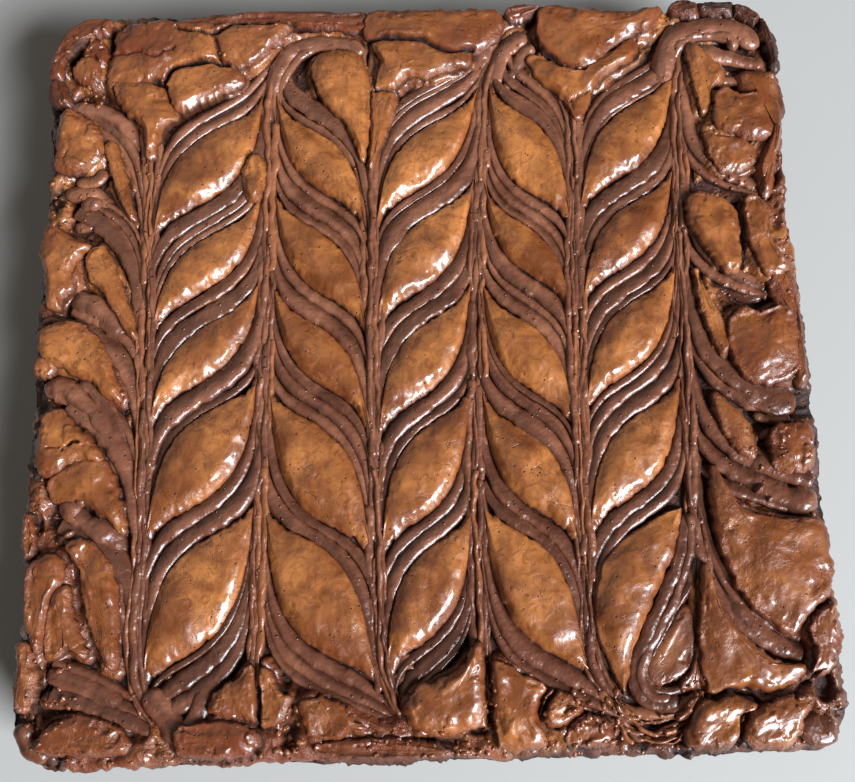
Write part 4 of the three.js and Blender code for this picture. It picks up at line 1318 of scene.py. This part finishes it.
# A crumb: four uneven rings, flattened, turned and tipped
def addCrumb(store, place, size, flat, seed, red):
    i, j = np.arange(crumbGrid["rings"])[:, None], np.arange(crumbGrid["around"])[None, :]
    polar, angle = np.linspace(0.16, 0.84, len(i))[:, None] * math.pi, j / j.size * 2 * math.pi
    swell = size * (1 + 0.35 * latticeValue(i, j, seed))
    shape = np.stack([np.sin(polar) * np.cos(angle), 0.7 * np.sin(polar) * np.sin(angle),
                      flat * np.cos(polar) + 0 * angle], -1) * swell[..., None]
    yaw, tip = rng.uniform(0, 6.3), rng.uniform(-0.6, 0.6)
    turn = np.array(Matrix.Rotation(yaw, 3, "Z") @ Matrix.Rotation(tip, 3, "X"))
    store.add(shape @ turn.T + place, wall=0.0, red=red, rough=0.6)


# Crumbs dropped on whatever lies below them
def makeCrumbs():
    spots = []
    for item in rubble:
        x0, x1, y0, y1 = item["area"]
        for _ in range(item["count"]):
            spots.append((rng.uniform(x0, x1), rng.uniform(y0, y1), item["size"], item["red"], False))
    places = outlineLoop(0, 2000)
    for _ in range(rimCrumbs["count"]):
        inset, at = rng.uniform(*rimCrumbs["inset"]), rng.integers(2000)
        x, y = places[0][at] - places[1][at] * inset
        spots.append((x, y, rimCrumbs["size"], rimCrumbs["red"], True))
    surface = bpy.context.evaluated_depsgraph_get()
    store = Rings(*crustMarks)
    for n, (x, y, size, red, onRimOnly) in enumerate(spots):
        start = (x * metresPerMm, y * metresPerMm, falling["start"])
        hit, location, _, _, below, _ = bpy.context.scene.ray_cast(surface, start, (0, 0, -1))
        if not hit or location[2] < falling["lowest"] or (onRimOnly and below.name != "rimBase"):
            continue
        size = size * rng.uniform(0.4, 1.0) ** 1.5
        place = np.array([x, y, location[2] / metresPerMm + 0.1 * size])
        addCrumb(store, place, size, rng.uniform(0.3, 0.7), n, np.clip(red + rng.uniform(-0.5, 0.3), 0, 1))
    makePiece("crumbs", store, crustMaterial)


makeCrumbs()

# Camera where the photograph was taken from
view = dict(
    focalPixels=1089.5, frameWidth=855,      # focal length and frame in pixels
    sensor=36.0,
    lookAt=(0.90, -9.76), topHeight=28.5,    # the place on the slab's top that it faces
    distance=278.8,
    pan=-2.865, tilt=13.70, roll=1.613,      # in degrees
)


# Turn about z by pan, about the new x by tilt and about the new z by roll
def makeCamera():
    turn = (Matrix.Rotation(math.radians(view["pan"]), 4, "Z")
            @ Matrix.Rotation(math.radians(view["tilt"]), 4, "X")
            @ Matrix.Rotation(math.radians(view["roll"]), 4, "Z"))
    target = np.array([*view["lookAt"], view["topHeight"]])
    eye = (target + view["distance"] * np.array(turn.col[2][:3])) * metresPerMm
    lens = bpy.data.cameras.new("photoView")
    lens.sensor_width = view["sensor"]
    lens.lens = view["sensor"] * view["focalPixels"] / view["frameWidth"]
    lens.clip_start = 0.01
    camera = bpy.data.objects.new("photoView", lens)
    camera.matrix_world = Matrix.Translation(eye.tolist()) @ turn
    bpy.context.scene.collection.objects.link(camera)
    bpy.context.scene.camera = camera


# Two square lights with their places and sizes in metres, the sky and the floor
light = dict(
    key=dict(place=(1.25, -1.1, 1.2), size=1.0, power=106.0, tone=(0.88, 0.94, 1.0)),
    fill=dict(place=(-0.8, 0.9, 1.2), size=2.2, power=4.5, tone=(1.0, 0.95, 0.88)),
    sky=0.05, skyColour=(1.0, 0.88, 0.78, 1), floorColour=(0.44, 0.43, 0.41, 1), floorSize=1.6,
)


# A square light that faces the middle of the slab's underside
def addAreaLight(name, place, size, power, tone):
    lamp = bpy.data.lights.new(name, "AREA")
    lamp.size, lamp.energy, lamp.color = size, power, tone
    holder = bpy.data.objects.new(name, lamp)
    direction = np.array(place) / np.linalg.norm(place)
    side = np.cross([0, 0, 1], direction)
    side = side / np.linalg.norm(side)
    turn = np.stack([side, np.cross(direction, side), direction], 1)
    holder.matrix_world = Matrix.Translation(place) @ Matrix(turn.tolist()).to_4x4()
    bpy.context.scene.collection.objects.link(holder)


# The lights, a plain sky and a pale floor
def makeStudio():
    addAreaLight("window", **light["key"])
    addAreaLight("roomFill", **light["fill"])
    world = bpy.data.worlds.new("room")
    world.use_nodes = True
    world.node_tree.nodes["Background"].inputs[0].default_value = light["skyColour"]
    world.node_tree.nodes["Background"].inputs[1].default_value = light["sky"]
    bpy.context.scene.world = world
    floor = Finish("paleFloor", dict(roughness=0.7))
    floor.surface.inputs["Base Color"].default_value = light["floorColour"]
    h = light["floorSize"] / 2
    mesh = bpy.data.meshes.new("floor")
    mesh.from_pydata([(-h, -h, 0), (h, -h, 0), (h, h, 0), (-h, h, 0)], [], [(0, 1, 2, 3)])
    mesh.materials.append(floor.material)
    floorObject = bpy.data.objects.new("floor", mesh)
    bpy.context.scene.collection.objects.link(floorObject)


makeCamera()
makeStudio()
bpy.context.scene.view_settings.view_transform = "Standard"
print("camera and lights set")
